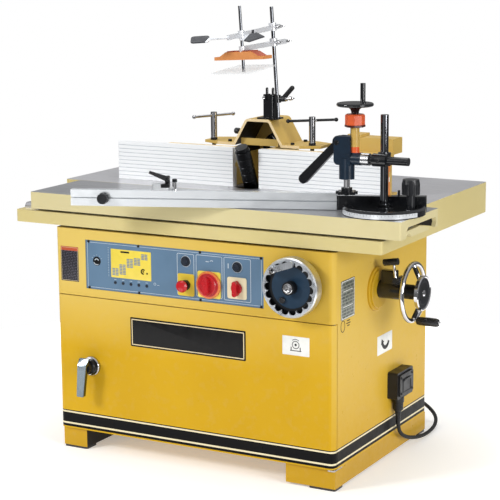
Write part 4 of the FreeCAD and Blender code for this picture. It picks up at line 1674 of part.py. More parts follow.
def mitre_base():
    """Dished round base with a pivot pin in the sliding table, and the bar that carries the fence."""
    floor = MITRE_FLOOR
    inner = MITRE_RADIUS - MITRE_RIM
    low = SEAT_GAP
    dish = turned([(0, low), (MITRE_RADIUS, low), (MITRE_RADIUS, MITRE_HEIGHT - MITRE_RIM / 2),
                   (MITRE_RADIUS - MITRE_RIM / 2, MITRE_HEIGHT), (inner, MITRE_HEIGHT),
                   (inner - MITRE_HEIGHT / 2, floor), (MITRE_HUB_RADIUS, floor),
                   (MITRE_HUB_RADIUS, MITRE_HEIGHT - MITRE_RIM / 2), (0, MITRE_HEIGHT - MITRE_RIM / 2)],
                  on_mitre(0, 0, 0), Z_AXIS)
    behind = block(MITRE_X - 2 * MITRE_RADIUS, MITRE_X + 2 * MITRE_RADIUS,
                   MITRE_Y + BAR_OFFSET + BAR_THICKNESS,
                   MITRE_Y + 2 * MITRE_RADIUS, TABLE_HEIGHT - OVERRUN, TABLE_HEIGHT + BAR_HEIGHT)
    left = on_mitre(-BAR_LEFT, BAR_OFFSET, BAR_LIFT)
    bar = block(left.x, MITRE_X + BAR_RIGHT, left.y, left.y + BAR_THICKNESS, left.z, left.z + BAR_HEIGHT)
    bar = rounded(bar, MITRE_RIM / 2, Z_AXIS, all_edges)
    pin = rod(on_mitre(0, 0, -MITRE_PIVOT_DEPTH), Z_AXIS, MITRE_PIVOT_RADIUS, MITRE_PIVOT_DEPTH + floor)
    stem_hole = spun(rod(on_mitre(LOCK_KNOB_REACH, 0, -OVERRUN), Z_AXIS, LOCK_STEM_RADIUS / 2 + MOVING_GAP,
                         MITRE_HEIGHT + 2 * OVERRUN), on_mitre(0, 0, 0), Z_AXIS, LOCK_KNOB_TURN)
    column_hole = rod(on_mitre(0, 0, floor), Z_AXIS, COLUMN_RADIUS + RUNNING_FIT, MITRE_HEIGHT)
    index_pin = rod(on_mitre(INDEX_PIN_REACH, BAR_OFFSET + BAR_THICKNESS / 2, BAR_LIFT), Z_AXIS,
                    INDEX_PIN_RADIUS,
                    BAR_HEIGHT + INDEX_PIN_HEIGHT)
    body = joined([dish.cut(behind), bar, pin, index_pin])
    add("mitre_base", swung(without(body, [stem_hole, column_hole])))
    table = pieces["sliding_table"]
    pivot_hole = rod(on_mitre(0, 0, -MITRE_PIVOT_DEPTH - SEAT_GAP), Z_AXIS,
                     MITRE_PIVOT_RADIUS + RUNNING_FIT,
                     MITRE_PIVOT_DEPTH + OVERRUN)
    pieces["sliding_table"] = table.cut(pivot_hole)


def mitre_fence():
    """Fence extrusion with T-slots in its front, top and back."""
    right = on_mitre(-BAR_LEFT, BAR_OFFSET, BAR_LIFT)
    left = right.x - MITRE_FENCE_LENGTH
    back = right.y + BAR_THICKNESS
    top = right.z + MITRE_FENCE_HEIGHT
    body = block(left, right.x, right.y, back, right.z, top)
    start = left - OVERRUN
    end = right.x + OVERRUN
    middle = right.z + MITRE_FENCE_HEIGHT / 2
    neck = MITRE_SLOT_NECK / 2
    half = MITRE_SLOT_WIDTH / 2
    cutters = [
        block(start, end, right.y - OVERRUN, right.y + MITRE_SLOT_DEPTH, middle - neck, middle + neck),
        block(start, end, right.y + MITRE_SLOT_LIP, right.y + MITRE_SLOT_DEPTH, middle - half,
              middle + half),
        block(start, end, back - MITRE_SLOT_DEPTH, back + OVERRUN, middle - neck, middle + neck),
        block(start, end, back - MITRE_SLOT_DEPTH, back - MITRE_SLOT_LIP, middle - half, middle + half),
    ]
    ridge = right.y + BAR_THICKNESS / 2
    cutters.append(block(start, end, ridge - neck, ridge + neck, top - MITRE_SLOT_DEPTH, top + OVERRUN))
    cutters.append(block(start, end, ridge - half, ridge + half, top - MITRE_SLOT_DEPTH,
                         top - MITRE_SLOT_LIP))
    knob_hole = rod(end_knob_place() - Y_AXIS * OVERRUN, Y_AXIS, neck, OVERRUN + MITRE_SLOT_DEPTH)
    add("mitre_fence", swung(without(body, cutters + [knob_hole])))


def end_knob_place():
    """Where the end knob meets the front of the mitre fence, before the gauge is swung."""
    return on_mitre(-END_KNOB_REACH, BAR_OFFSET, BAR_LIFT + MITRE_FENCE_HEIGHT / 2)


def fluted(body, centre, axis, radius, flute, count, length):
    """Cuts finger flutes round a knob."""
    side = Y_AXIS if abs(axis.z) > 0 else Z_AXIS
    cutter = rod(centre + side * radius - axis * OVERRUN, axis, flute, length + 2 * OVERRUN)
    return without(body, ring_of(cutter, centre, axis, count))


def mitre_knobs():
    """Lock knob of the swing, and the knob at the end of the mitre fence."""
    place = on_mitre(LOCK_KNOB_REACH, 0, 0)
    stem_base = place + Z_AXIS * (MITRE_FLOOR + MOVING_GAP)
    knob_base = stem_base + Z_AXIS * LOCK_STEM_HEIGHT
    washer = rod(stem_base, Z_AXIS, LOCK_WASHER_RADIUS, LOCK_WASHER_HEIGHT)
    stem = rod(stem_base, Z_AXIS, LOCK_STEM_RADIUS, LOCK_STEM_HEIGHT)
    stud = rod(place + Z_AXIS * SEAT_GAP, Z_AXIS, LOCK_STEM_RADIUS / 2, LOCK_STEM_HEIGHT)
    head = turned_shares(KNOB_BASE_SHARES, LOCK_KNOB_OUTER, LOCK_KNOB_TALL, knob_base, Z_AXIS)
    head = fluted(head, knob_base, Z_AXIS, LOCK_KNOB_OUTER + LOCK_KNOB_FLUTE_RADIUS / 2,
                  LOCK_KNOB_FLUTE_RADIUS,
                  LOCK_KNOB_FLUTES, LOCK_KNOB_TALL)
    knob = spun(joined([washer, stem, stud, head]), on_mitre(0, 0, 0), Z_AXIS, LOCK_KNOB_TURN)
    add("mitre_lock_knob", swung(knob))
    front = end_knob_place() - Y_AXIS * MOVING_GAP
    end_head = turned_shares(KNOB_BASE_SHARES, END_KNOB_RADIUS, END_KNOB_LENGTH, front, -Y_AXIS)
    end_head = fluted(end_head, front, -Y_AXIS, END_KNOB_RADIUS + LOCK_KNOB_FLUTE_RADIUS / 2,
                      LOCK_KNOB_FLUTE_RADIUS,
                      END_KNOB_FLUTES, END_KNOB_LENGTH)
    end_stud = rod(front, Y_AXIS, MITRE_SLOT_NECK / 2 - MOVING_GAP, MITRE_SLOT_DEPTH)
    add("fence_end_knob", swung(joined([end_head, end_stud])))


def flip_stop():
    """Stop on the mitre fence: a carrier that slides along the top and an arm that flips over."""
    base = on_mitre(-STOP_REACH, BAR_OFFSET, BAR_LIFT + MITRE_FENCE_HEIGHT + MOVING_GAP)
    half = STOP_LENGTH / 2
    body = block(base.x - half, base.x + half, base.y, base.y + BAR_THICKNESS, base.z,
                 base.z + STOP_BLOCK_HEIGHT)
    body = rounded(body, STOP_PIN_RADIUS, Z_AXIS, all_edges)
    ridge = base.y + BAR_THICKNESS / 2
    key_half = MITRE_SLOT_NECK / 2 - MOVING_GAP
    key = block(base.x - half, base.x + half, ridge - key_half, ridge + key_half,
                base.z - MOVING_GAP - MITRE_SLOT_LIP, base.z)
    post_back = base.y + BAR_THICKNESS
    post = block(base.x + half - STOP_POST_WIDTH, base.x + half, post_back - STOP_POST_WIDTH, post_back,
                 base.z, base.z + STOP_POST_HEIGHT)
    post = rounded(post, STOP_PIN_RADIUS, Y_AXIS, lambda middle: middle.z > base.z + STOP_BLOCK_HEIGHT)
    pivot = point(base.x + half - STOP_POST_WIDTH / 2, post_back - STOP_POST_WIDTH,
                  base.z + STOP_POST_HEIGHT - STOP_ARM_HALF)
    pin = rod(pivot, -Y_AXIS, STOP_PIN_RADIUS, STOP_ARM_THICKNESS + 2 * MOVING_GAP)
    add("stop_carrier", swung(joined([body, key, post, pin])))
    near = pivot - Y_AXIS * MOVING_GAP
    tip = STOP_ARM_HALF / 2
    arm = joined([rod(near, -Y_AXIS, STOP_ARM_HALF, STOP_ARM_THICKNESS),
                  prism([near + point(0, 0, -STOP_ARM_HALF), near + point(STOP_ARM_LENGTH, 0, -tip),
                         near + point(STOP_ARM_LENGTH, 0, tip), near + point(0, 0, STOP_ARM_HALF)],
                        -Y_AXIS * STOP_ARM_THICKNESS)])
    arm = arm.cut(rod(pivot + Y_AXIS * OVERRUN, -Y_AXIS, STOP_PIN_RADIUS + RUNNING_FIT,
                      STOP_ARM_THICKNESS + 2 * OVERRUN))
    add("flip_stop", swung(spun(arm, pivot, Y_AXIS, -STOP_ARM_ANGLE)))


def clamp_column():
    """Chrome column in the hub of the mitre base, and the cross clamp that slides on it."""
    foot = on_mitre(0, 0, MITRE_FLOOR + SEAT_GAP)
    collar_base = TABLE_HEIGHT + MITRE_HEIGHT - MITRE_RIM / 2 + SEAT_GAP
    column = rod(foot, Z_AXIS, COLUMN_RADIUS, COLUMN_TOP - foot.z)
    collar = rod(point(MITRE_X, MITRE_Y, collar_base), Z_AXIS, COLUMN_FOOT_RADIUS, COLUMN_FOOT_HEIGHT)
    add("clamp_column", joined([column, collar]))
    bottom = BAR_Z - CROSS_BLOCK_HEIGHT / 2
    ring = rod(point(MITRE_X, MITRE_Y, bottom), Z_AXIS, CROSS_BLOCK_RADIUS, CROSS_BLOCK_HEIGHT)
    sleeve = rod(point(MITRE_X - CROSS_BLOCK_LENGTH / 2, CLAMP_Y, BAR_Z), X_AXIS, CROSS_BLOCK_RADIUS,
                 CROSS_BLOCK_LENGTH)
    link = block(MITRE_X - CROSS_BLOCK_RADIUS, MITRE_X + CROSS_BLOCK_RADIUS, CLAMP_Y, MITRE_Y,
                 BAR_Z - CROSS_LINK_HEIGHT / 2, BAR_Z + CROSS_LINK_HEIGHT / 2)
    column_bore = rod(point(MITRE_X, MITRE_Y, bottom - OVERRUN), Z_AXIS, COLUMN_RADIUS + RUNNING_FIT,
                      CROSS_BLOCK_HEIGHT + 2 * OVERRUN)
    bar_bore = rod(point(MITRE_X - CROSS_BLOCK_LENGTH, CLAMP_Y, BAR_Z), X_AXIS,
                   CROSS_BAR_RADIUS + RUNNING_FIT,
                   CROSS_BLOCK_LENGTH * 2)
    add("cross_clamp", without(joined([ring, sleeve, link]), [column_bore, bar_bore]))


def clamp_head():
    """Black clamp head with its slotted lug for the lever, branch, ring and bar, riser and faceted cap."""
    barrel = rod(point(HEAD_X, CLAMP_Y, HEAD_BOTTOM), Z_AXIS, HEAD_RADIUS, BAR_Z - HEAD_BOTTOM)
    lug = block(HEAD_X - HEAD_CHEEK_REACH, HEAD_X + HEAD_CHEEK_HALF, CLAMP_Y - HEAD_CHEEK_HALF,
                CLAMP_Y + HEAD_CHEEK_HALF,
                BAR_Z - HEAD_CHEEK_HALF, HEAD_TOP)
    lug = rounded(lug, HEAD_LUG_CORNER, Y_AXIS, lambda middle: middle.x < HEAD_X)
    pivot_x = HEAD_X - HEAD_PIVOT_X
    lever_slot = block(HEAD_X - HEAD_CHEEK_REACH - OVERRUN, HEAD_X, CLAMP_Y - CLAMP_SLOT / 2,
                       CLAMP_Y + CLAMP_SLOT / 2,
                       BAR_Z - HEAD_CHEEK_HALF - OVERRUN, HEAD_TOP + OVERRUN)
    pivot_pin = rod(point(pivot_x, CLAMP_Y - HEAD_CHEEK_HALF, HEAD_PIVOT_Z), Y_AXIS, HEAD_PIVOT_RADIUS,
                    2 * HEAD_CHEEK_HALF)
    branch_end = MITRE_X - CROSS_BAR_LEFT
    branch = rod(point(HEAD_X, CLAMP_Y, BAR_Z), X_AXIS, HEAD_BRANCH_RADIUS,
                 branch_end - HEAD_RING_LENGTH - HEAD_X)
    riser_x = HEAD_X + RISER_OFFSET
    riser = rod(point(riser_x, CLAMP_Y, BAR_Z), Z_AXIS, RISER_RADIUS, RISER_TOP - BAR_Z)
    plunger_bore = rod(point(HEAD_X, CLAMP_Y, HEAD_BOTTOM - OVERRUN), Z_AXIS, PLUNGER_RADIUS + RUNNING_FIT,
                       HEAD_TOP - HEAD_BOTTOM - HEAD_RADIUS + OVERRUN)
    body = joined([barrel, lug, branch, riser])
    body = joined([without(body, [lever_slot, plunger_bore]), pivot_pin])
    ring = rod(point(branch_end - HEAD_RING_LENGTH, CLAMP_Y, BAR_Z), X_AXIS, HEAD_RING_RADIUS,
               HEAD_RING_LENGTH)
    bar = rod(point(branch_end, CLAMP_Y, BAR_Z), X_AXIS, CROSS_BAR_RADIUS, CROSS_BAR_LEFT + CROSS_BAR_RIGHT)
    cap = []
    for side in range(CAP_SIDES):
        turn = 2 * math.pi * side / CAP_SIDES
        cap.append(point(riser_x + CAP_RADIUS * math.cos(turn), CLAMP_Y + CAP_RADIUS * math.sin(turn),
                         RISER_TOP))
    add("clamp_head", body, joined([ring, bar]), prism(cap, Z_AXIS * CAP_HEIGHT))


def clamp_lever():
    """Hand lever in the slot of the clamp head."""
    pivot = point(HEAD_X - HEAD_PIVOT_X, CLAMP_Y, HEAD_PIVOT_Z)
    near = pivot + Y_AXIS * (CLAMP_LEVER_THICKNESS / 2)
    sweep = -Y_AXIS * CLAMP_LEVER_THICKNESS
    arm = joined([
        rod(near, -Y_AXIS, CLAMP_LEVER_ROOT, CLAMP_LEVER_THICKNESS),
        prism([near + point(0, 0, -CLAMP_LEVER_NECK), near + point(CLAMP_LEVER_LENGTH, 0, -CLAMP_LEVER_TIP),
               near + point(CLAMP_LEVER_LENGTH, 0, CLAMP_LEVER_TIP), near + point(0, 0, CLAMP_LEVER_NECK)],
              sweep),
        rod(near + point(CLAMP_LEVER_LENGTH, 0, 0), -Y_AXIS, CLAMP_LEVER_TIP, CLAMP_LEVER_THICKNESS),
    ])
    arm = arm.cut(rod(near + Y_AXIS * OVERRUN, -Y_AXIS, HEAD_PIVOT_RADIUS + RUNNING_FIT,
                      CLAMP_LEVER_THICKNESS + 2 * OVERRUN))
    add("clamp_lever", spun(arm, pivot, Y_AXIS, -CLAMP_LEVER_ANGLE))


def clamp_plunger():
    """Plunger in the clamp head with its foot and notched star nut."""
    foot = point(HEAD_X, CLAMP_Y, PLUNGER_BOTTOM)
    star = rod(foot, Z_AXIS, PLUNGER_STAR_RADIUS, PLUNGER_STAR_HEIGHT)
    notch = rod(foot + point(PLUNGER_STAR_RADIUS, 0, -OVERRUN), Z_AXIS, PLUNGER_STAR_HEIGHT,
                PLUNGER_STAR_HEIGHT + 2 * OVERRUN)
    star = without(star, ring_of(notch, foot, Z_AXIS, PLUNGER_STAR_NOTCHES))
    pad = rod(foot, Z_AXIS, PLUNGER_FOOT_RADIUS, PLUNGER_FOOT_HEIGHT)
    stem = rod(foot, Z_AXIS, PLUNGER_RADIUS, PLUNGER_TOP - PLUNGER_BOTTOM)
    add("clamp_plunger", joined([star, pad, stem]))


def clamp_wheel():
    """Dished clamp handwheel with an upright handle."""
    base = point(HEAD_X + RISER_OFFSET, CLAMP_Y, RISER_TOP + CAP_HEIGHT + MOVING_GAP)
    hub = rod(base, Z_AXIS, WHEEL_HUB_RADIUS, WHEEL_RISE + WHEEL_THICKNESS / 2)
    wheel_base = base + Z_AXIS * WHEEL_RISE
    dish = turned_shares(WHEEL_SHARES, WHEEL_RADIUS, WHEEL_THICKNESS, wheel_base, Z_AXIS)
    turn = math.radians(WHEEL_HANDLE_TURN)
    handle_base = wheel_base + point(WHEEL_HANDLE_REACH * math.cos(turn),
                                     WHEEL_HANDLE_REACH * math.sin(turn),
                                     WHEEL_THICKNESS / 2)
    handle = rod(handle_base, Z_AXIS, WHEEL_HANDLE_RADIUS, WHEEL_HANDLE_HEIGHT)
    add("clamp_wheel", joined([hub, dish, handle]))


def socket_box():
    """Socket box on the side with a raised lid and a mouth below, and the cord gland in the back wall."""
    box = block(CABINET_RIGHT, CABINET_RIGHT + SOCKET_DEPTH, SOCKET_FRONT, SOCKET_BACK, SOCKET_BOTTOM,
                SOCKET_TOP)
    box = rounded(box, SOCKET_CORNER, X_AXIS, all_edges)
    lid = block(CABINET_RIGHT + SOCKET_DEPTH, CABINET_RIGHT + SOCKET_DEPTH + SOCKET_LID,
                SOCKET_FRONT + SOCKET_LID_MARGIN, SOCKET_BACK - SOCKET_LID_MARGIN,
                SOCKET_BOTTOM + SOCKET_LID_MARGIN, SOCKET_TOP - SOCKET_LID_MARGIN)
    lid = rounded(lid, SOCKET_CORNER, X_AXIS, all_edges)
    mouth = rod(point(LEAD_POINTS[0][0], PLUG_Y, SOCKET_BOTTOM - SOCKET_MOUTH_LENGTH), Z_AXIS,
                SOCKET_MOUTH_RADIUS, SOCKET_MOUTH_LENGTH)
    inner_wall = point(GLAND_X, CABINET_REAR - SHEET - GLAND_NUT_LENGTH, GLAND_Z)
    gland = joined([
        rod(inner_wall, Y_AXIS, GLAND_RADIUS, GLAND_NUT_LENGTH + SHEET + GLAND_LENGTH),
        rod(point(GLAND_X, CABINET_REAR, GLAND_Z), Y_AXIS, GLAND_NUT_RADIUS, GLAND_NUT_LENGTH),
    ])
    add("power_fittings", joined([box, lid, mouth]), gland)


def plug():
    """Plug in the mouth of the socket box, tapering to the lead."""
    tip = SOCKET_BOTTOM - SOCKET_MOUTH_LENGTH
    base = point(LEAD_POINTS[0][0], PLUG_Y, tip - PLUG_LENGTH)
    add("plug", turned_shares(PLUG_SHARES, PLUG_RADIUS, PLUG_LENGTH, base, Z_AXIS))


def lead():
    """Lead from the plug to the gland: straight runs joined by arcs as large as the runs allow."""
    points = [point(*place) for place in LEAD_POINTS]
    edges = []
    start = points[0]
    length = 0
    for index in range(1, len(points) - 1):
        before = points[index - 1] - points[index]
        after = points[index + 1] - points[index]
        turn = math.pi - before.getAngle(after)
        reach = LEAD_ARC_SHARE * min(before.Length, after.Length)
        radius = reach / math.tan(turn / 2)
        before.normalize()
        after.normalize()
        bisector = before + after
        bisector.normalize()
        entry = points[index] + before * reach
        leave = points[index] + after * reach
        crown = points[index] + bisector * (radius / math.cos(turn / 2) - radius)
        edges.append(Part.LineSegment(start, entry).toShape())
        edges.append(Part.Arc(entry, crown, leave).toShape())
        length += (entry - start).Length + radius * turn
        start = leave
        print("lead bend", index, "radius", round(radius, 1), "turn", round(math.degrees(turn), 1))
    edges.append(Part.LineSegment(start, points[-1]).toShape())
    length += (points[-1] - start).Length
    path = Part.Wire(edges)
    heading = points[1] - points[0]
    section = Part.Wire(Part.makeCircle(LEAD_RADIUS, points[0], heading))
    solid = path.makePipeShell([section], True, False)
    print("lead volume share", round(solid.Volume / (math.pi * LEAD_RADIUS ** 2 * length), 4), "length",
          round(length, 1))
    add("lead", solid)


def main():
    cabinet_shell()
    front_fascia()
    door()
    door_hinges()
    door_handle()
    base_skids()
    levelling_pads()
    table_casting()
    table_ring()
    slide_rails()
    sliding_table()
    control_panel()
    stop_button()
    switch_knobs()
    push_buttons()
    lift_wheel()
    tilt_wheel()
    tilt_lock_lever()
    trunnion_brackets()
    tilt_frame()
    lift_carriage()
    motor()
    motor_pulley()
    spindle()
    drive_belt()
    fence_plate("fence_plate_left", FENCE_LEFT_START, FENCE_LEFT_END)
    fence_plate("fence_plate_right", FENCE_RIGHT_START, FENCE_RIGHT_END)
    fence_hood()
    fence_screws()
    guard_holder()
    holder_lever()
    guard()
    mitre_base()
    mitre_fence()
    mitre_knobs()
    flip_stop()
    clamp_column()
    clamp_head()
    clamp_lever()
    clamp_plunger()
    clamp_wheel()
    socket_box()
    plug()
    lead()
    box = FreeCAD.BoundBox()
    for name, shape in pieces.items():
        if name not in ("plug", "lead"):
            box.add(shape.BoundBox)
    shift = point(-box.Center.x, -box.Center.y, 0)
    print("shift", shift, "box", box)
    os.makedirs("parts", exist_ok=True)
    for name, shape in pieces.items():
        moved = shape.copy()
        moved.translate(shift)
        moved.exportStep("parts/" + name + ".step")
    print(len(pieces), "pieces")


main()
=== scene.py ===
import math
from functools import partial

import bmesh
import bpy
from mathutils import Matrix, Vector


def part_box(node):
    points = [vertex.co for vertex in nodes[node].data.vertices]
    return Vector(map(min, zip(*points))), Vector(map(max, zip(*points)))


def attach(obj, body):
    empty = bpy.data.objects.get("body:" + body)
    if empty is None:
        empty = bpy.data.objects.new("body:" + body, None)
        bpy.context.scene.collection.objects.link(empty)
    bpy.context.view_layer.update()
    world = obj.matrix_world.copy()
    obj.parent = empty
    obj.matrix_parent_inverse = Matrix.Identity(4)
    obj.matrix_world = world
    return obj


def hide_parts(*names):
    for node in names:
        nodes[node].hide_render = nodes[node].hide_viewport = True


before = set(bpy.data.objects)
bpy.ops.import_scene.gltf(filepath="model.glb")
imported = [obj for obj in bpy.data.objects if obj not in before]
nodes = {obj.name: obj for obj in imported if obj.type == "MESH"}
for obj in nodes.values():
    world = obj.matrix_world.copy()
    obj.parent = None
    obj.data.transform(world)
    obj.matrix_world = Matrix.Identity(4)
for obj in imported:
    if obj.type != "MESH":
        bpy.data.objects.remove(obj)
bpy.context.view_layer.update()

ring_low, ring_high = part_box("table_ring")

# Places are in millimetres: across from the spindle, back from the middle of the table, up from the floor
PIVOT_BACK = -12
TABLE_MIDDLE = Vector(((ring_low.x + ring_high.x) / 2, (ring_low.y + ring_high.y) / 2 - PIVOT_BACK / 1000, 0))

FACING_FRONT = Matrix(((1, 0, 0), (0, 0, -1), (0, 1, 0))).to_4x4()
FACING_BACK = Matrix(((-1, 0, 0), (0, 0, 1), (0, 1, 0))).to_4x4()
FACING_RIGHT = Matrix(((0, 0, 1), (1, 0, 0), (0, 1, 0))).to_4x4()
FACING_LEFT = Matrix(((0, 0, -1), (-1, 0, 0), (0, 1, 0))).to_4x4()
FACING_UP = Matrix.Identity(4)

FASCIA_FACE = -440.5
PANEL_FACE = -439.0
SIDE_FACE = 521.0
BACK_FACE = 305.5
TABLE_TOP = 880.0
FENCE_FACE = -42.0
HOOD_FRONT = 28.0
HOOD_ROOF = 1107.0
MITRE_TURN = 20.4
GUARD_LEAN = 3.8
GUARD_FOOT = (66.0, 60.0, HOOD_ROOF)
MAINS = (77.0, PANEL_FACE, 626.0)
STOP = (-9.5, PANEL_FACE, 617.5)
LIFT_AXIS = (395.0, FASCIA_FACE, 657.0)
TILT_AXIS = (SIDE_FACE, -126.0, 597.0)
HANDLE = (-383.0, FASCIA_FACE, 303.0)
MITRE_AXIS = (630.0, -316.0, TABLE_TOP)
CLAMP_AXIS = (545.0, -347.0, 0.0)
MITRE_BAR_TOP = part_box("mitre_fence")[1].z


def at(x, y, z):
    """A place in the frame from millimetres on the machine."""
    return TABLE_MIDDLE + Vector((x, y, z)) / 1000


def across_at(x):
    return at(x, 0, 0).x


def back_at(y):
    return at(0, y, 0).y


# Shapes, in millimetres, standing up from their own plane

TOUCH = 0.001
MERGE = 0.0005


def softened(shape, parts, offset, segments, affect):
    """Rounds corners or edges of a shape."""
    bmesh.ops.bevel(shape, geom=parts, offset=offset, segments=segments, profile=0.5, affect=affect, material=-1)


def raised(shape, thick):
    """Gives a flat shape its thickness."""
    grown = bmesh.ops.extrude_face_region(shape, geom=shape.faces[:])["geom"]
    top = [part for part in grown if isinstance(part, bmesh.types.BMVert)]
    bmesh.ops.translate(shape, verts=top, vec=(0, 0, thick))
    bmesh.ops.recalc_face_normals(shape, faces=shape.faces[:])
    return shape


def flat_face(outline, corner, segments):
    """One face with round corners."""
    shape = bmesh.new()
    corners = [shape.verts.new((x, y, 0)) for x, y in outline]
    shape.faces.new(corners)
    if corner:
        softened(shape, corners, corner, segments, "VERTICES")
    return shape


def oblong(width, height):
    """The corners of a rectangle round its middle."""
    return [(side * width / 2, end * height / 2) for side, end in ((-1, -1), (1, -1), (1, 1), (-1, 1))]


def slab(outline, thick, corner=0.0, edge=0.0):
    """A flat shape of any outline with round corners and a softened front edge."""
    shape = raised(flat_face(outline, corner, 6), thick)
    if edge:
        rim = [line for line in shape.edges if all(abs(end.co.z - thick) < TOUCH for end in line.verts)]
        softened(shape, rim, edge, 2, "EDGES")
    return shape


def plate(width, height, thick, corner=0.0, edge=0.0):
    """A rectangular plate."""
    return slab(oblong(width, height), thick, corner, edge)


def border(width, height, line, thick, corner=0.0):
    """A thin raised line round a rectangle."""
    shape = flat_face(oblong(width, height), corner, 5)
    inside = shape.faces[:]
    bmesh.ops.inset_individual(shape, faces=inside, thickness=line, depth=0, use_even_offset=True)
    bmesh.ops.delete(shape, geom=inside, context="FACES_ONLY")
    return raised(shape, thick)


def turned(profile, sides=48, turn=360.0):
    """A turned shape from points of radius and height, closed at its axis or along its bore."""
    if profile[-1][0] > 0 and math.dist(profile[0], profile[-1]) > MERGE:
        profile = [*profile, profile[0]]
    elif profile[-1][0] == 0 and profile[0][0] > 0:
        profile = [(0, profile[0][1]), *profile]
    shape = bmesh.new()
    points = [shape.verts.new((radius, 0, height)) for radius, height in profile]
    lines = [shape.edges.new(pair) for pair in zip(points, points[1:])]
    full = turn > 359.9
    bmesh.ops.spin(shape, geom=points + lines, axis=(0, 0, 1), cent=(0, 0, 0), dvec=(0, 0, 0),
                   angle=math.radians(turn), steps=sides, use_merge=full, use_duplicate=False)
    bmesh.ops.remove_doubles(shape, verts=shape.verts[:], dist=MERGE)
    if not full:
        bmesh.ops.holes_fill(shape, edges=shape.edges[:], sides=4)
    bmesh.ops.recalc_face_normals(shape, faces=shape.faces[:])
    return shape


def cap_screw(radius, height):
    """A round screw head with a six-sided socket."""
    socket = radius * 0.55
    shape = turned([(radius, 0), (radius, height * 0.75), (radius * 0.88, height), (socket * 1.1, height),
                    (socket, height * 0.95), (socket, height * 0.45), (0, height * 0.4)], 24)
    for point in shape.verts:
        reach = math.hypot(point.co.x, point.co.y)
        if TOUCH < reach < socket * 1.05:
            angle = math.atan2(point.co.y, point.co.x) % (math.pi / 3) - math.pi / 6
            flat = math.cos(math.pi / 6) / math.cos(angle)
            point.co.x *= flat
            point.co.y *= flat
    return shape


def hex_nut(across, height, bore):
    """A six-sided nut with turned-off corners."""
    shape = bmesh.new()
    lines = []
    for sides, radius in ((6, across / math.sqrt(3)), (24, bore)):
        ring = bmesh.ops.create_circle(shape, segments=sides, radius=radius)["verts"]
        lines += {line for point in ring for line in point.link_edges}
    bmesh.ops.bridge_loops(shape, edges=lines)
    raised(shape, height)
    outer = [line for line in shape.edges
             if all(abs(end.co.z - height) < TOUCH and end.co.xy.length > across * 0.55 for end in line.verts)]
    softened(shape, outer, across * 0.05, 2, "EDGES")
    return shape


def rivet(radius):
    """A low domed rivet."""
    dome = ((1, 0), (0.94, 0.3), (0.7, 0.52), (0.35, 0.64), (0, 0.68))
    return turned([(radius * wide, radius * high) for wide, high in dome], 20)


def arc_strip(inner, outer, thick, turn):
    """Part of a flat ring, closed at both ends."""
    return turned([(inner, 0), (outer, 0), (outer, thick), (inner, thick)], 24, turn)


def disc(radius, thick, edge=0.3):
    """A flat round plate with a softened edge."""
    return turned([(radius, 0), (radius, thick - edge), (radius - edge, thick), (0, thick)], 40)


def about(axis, angle):
    """A turn about an axis, in degrees."""
    return Matrix.Rotation(math.radians(angle), 4, axis)


def heading(angle):
    """Turns a shape from upright to level, towards an angle seen from above."""
    return about("Z", angle) @ FACING_RIGHT


def moved(x, y, z=0.0, turn=0.0):
    """A place in a shape's own plane, in millimetres."""
    return Matrix.Translation((x, y, z)) @ about("Z", turn)


def thumb_screw(length, nut):
    """A stud with a nut at its foot and two wings at its end."""
    stud = turned([(nut * 0.3, 0), (nut * 0.3, length - 1), (nut * 0.24, length), (0, length)], 20)
    collar = turned([(nut * 0.42, length * 0.55), (nut * 0.46, length * 0.62), (nut * 0.42, length * 0.86),
                     (nut * 0.3, length * 0.9)], 20)
    parts = [stud, collar, hex_nut(nut, length * 0.28, nut * 0.3)]
    for side in (-1, 1):
        wing = plate(nut * 0.62, length * 0.42, nut * 0.2, nut * 0.2, nut * 0.05)
        stand = moved(side * nut * 0.62, nut * 0.1, length * 0.82)
        parts.append((wing, stand @ about("Y", side * 14) @ about("X", 90)))
    return gathered(*parts)


def gathered(*placed):
    """One mesh of several shapes, each alone or with the matrix that puts it in place."""
    whole = bmesh.new()
    for item in placed:
        shape, place = item if isinstance(item, tuple) else (item, FACING_UP)
        bmesh.ops.transform(shape, matrix=place, verts=shape.verts)
        step = bpy.data.meshes.new("step")
        shape.to_mesh(step)
        shape.free()
        whole.from_mesh(step)
        bpy.data.meshes.remove(step)
    return whole


def in_scene(name, data):
    """A new object in the scene."""
    made = bpy.data.objects.new(name, data)
    bpy.context.scene.collection.objects.link(made)
    return made


def piece(facing, place, name, body, slot, material, *placed, smooth=30.0):
    """Puts shapes on the machine as one piece that rides on a body."""
    shape = gathered(*placed)
    whole = Matrix.Translation(place) @ facing @ Matrix.Scale(0.001, 4)
    bmesh.ops.transform(shape, matrix=whole, verts=shape.verts)
    mesh = bpy.data.meshes.new(name)
    shape.to_mesh(mesh)
    shape.free()
    mesh.materials.append(material)
    mesh.shade_smooth()
    mesh.set_sharp_from_angle(angle=math.radians(smooth))
    made = in_scene(name, mesh)
    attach(made, body)
    return made


# Finishes

def finish(name, colour, metallic=0.0, roughness=0.5, shine=0.5, **sockets):
    """A new material with its even values on the shader's own sockets."""
    material = bpy.data.materials.new(name)
    material.use_nodes = True
    shader = material.node_tree.nodes["Principled BSDF"]
    values = {"Base Color": (*colour, 1), "Metallic": metallic, "Roughness": roughness, "Specular IOR Level": shine}
    for socket, value in {**values, **sockets}.items():
        shader.inputs[socket.replace("_", " ")].default_value = value
    return material


def node(tree, kind, sockets, **settings):
    """A shader node with its settings, and a value or a field on each socket named."""
    made = tree.nodes.new(kind)
    for setting, value in settings.items():
        setattr(made, setting, value)
    for socket, value in sockets.items():
        if isinstance(value, bpy.types.NodeSocket):
            tree.links.new(value, made.inputs[socket])
        else:
            made.inputs[socket].default_value = value
    return made


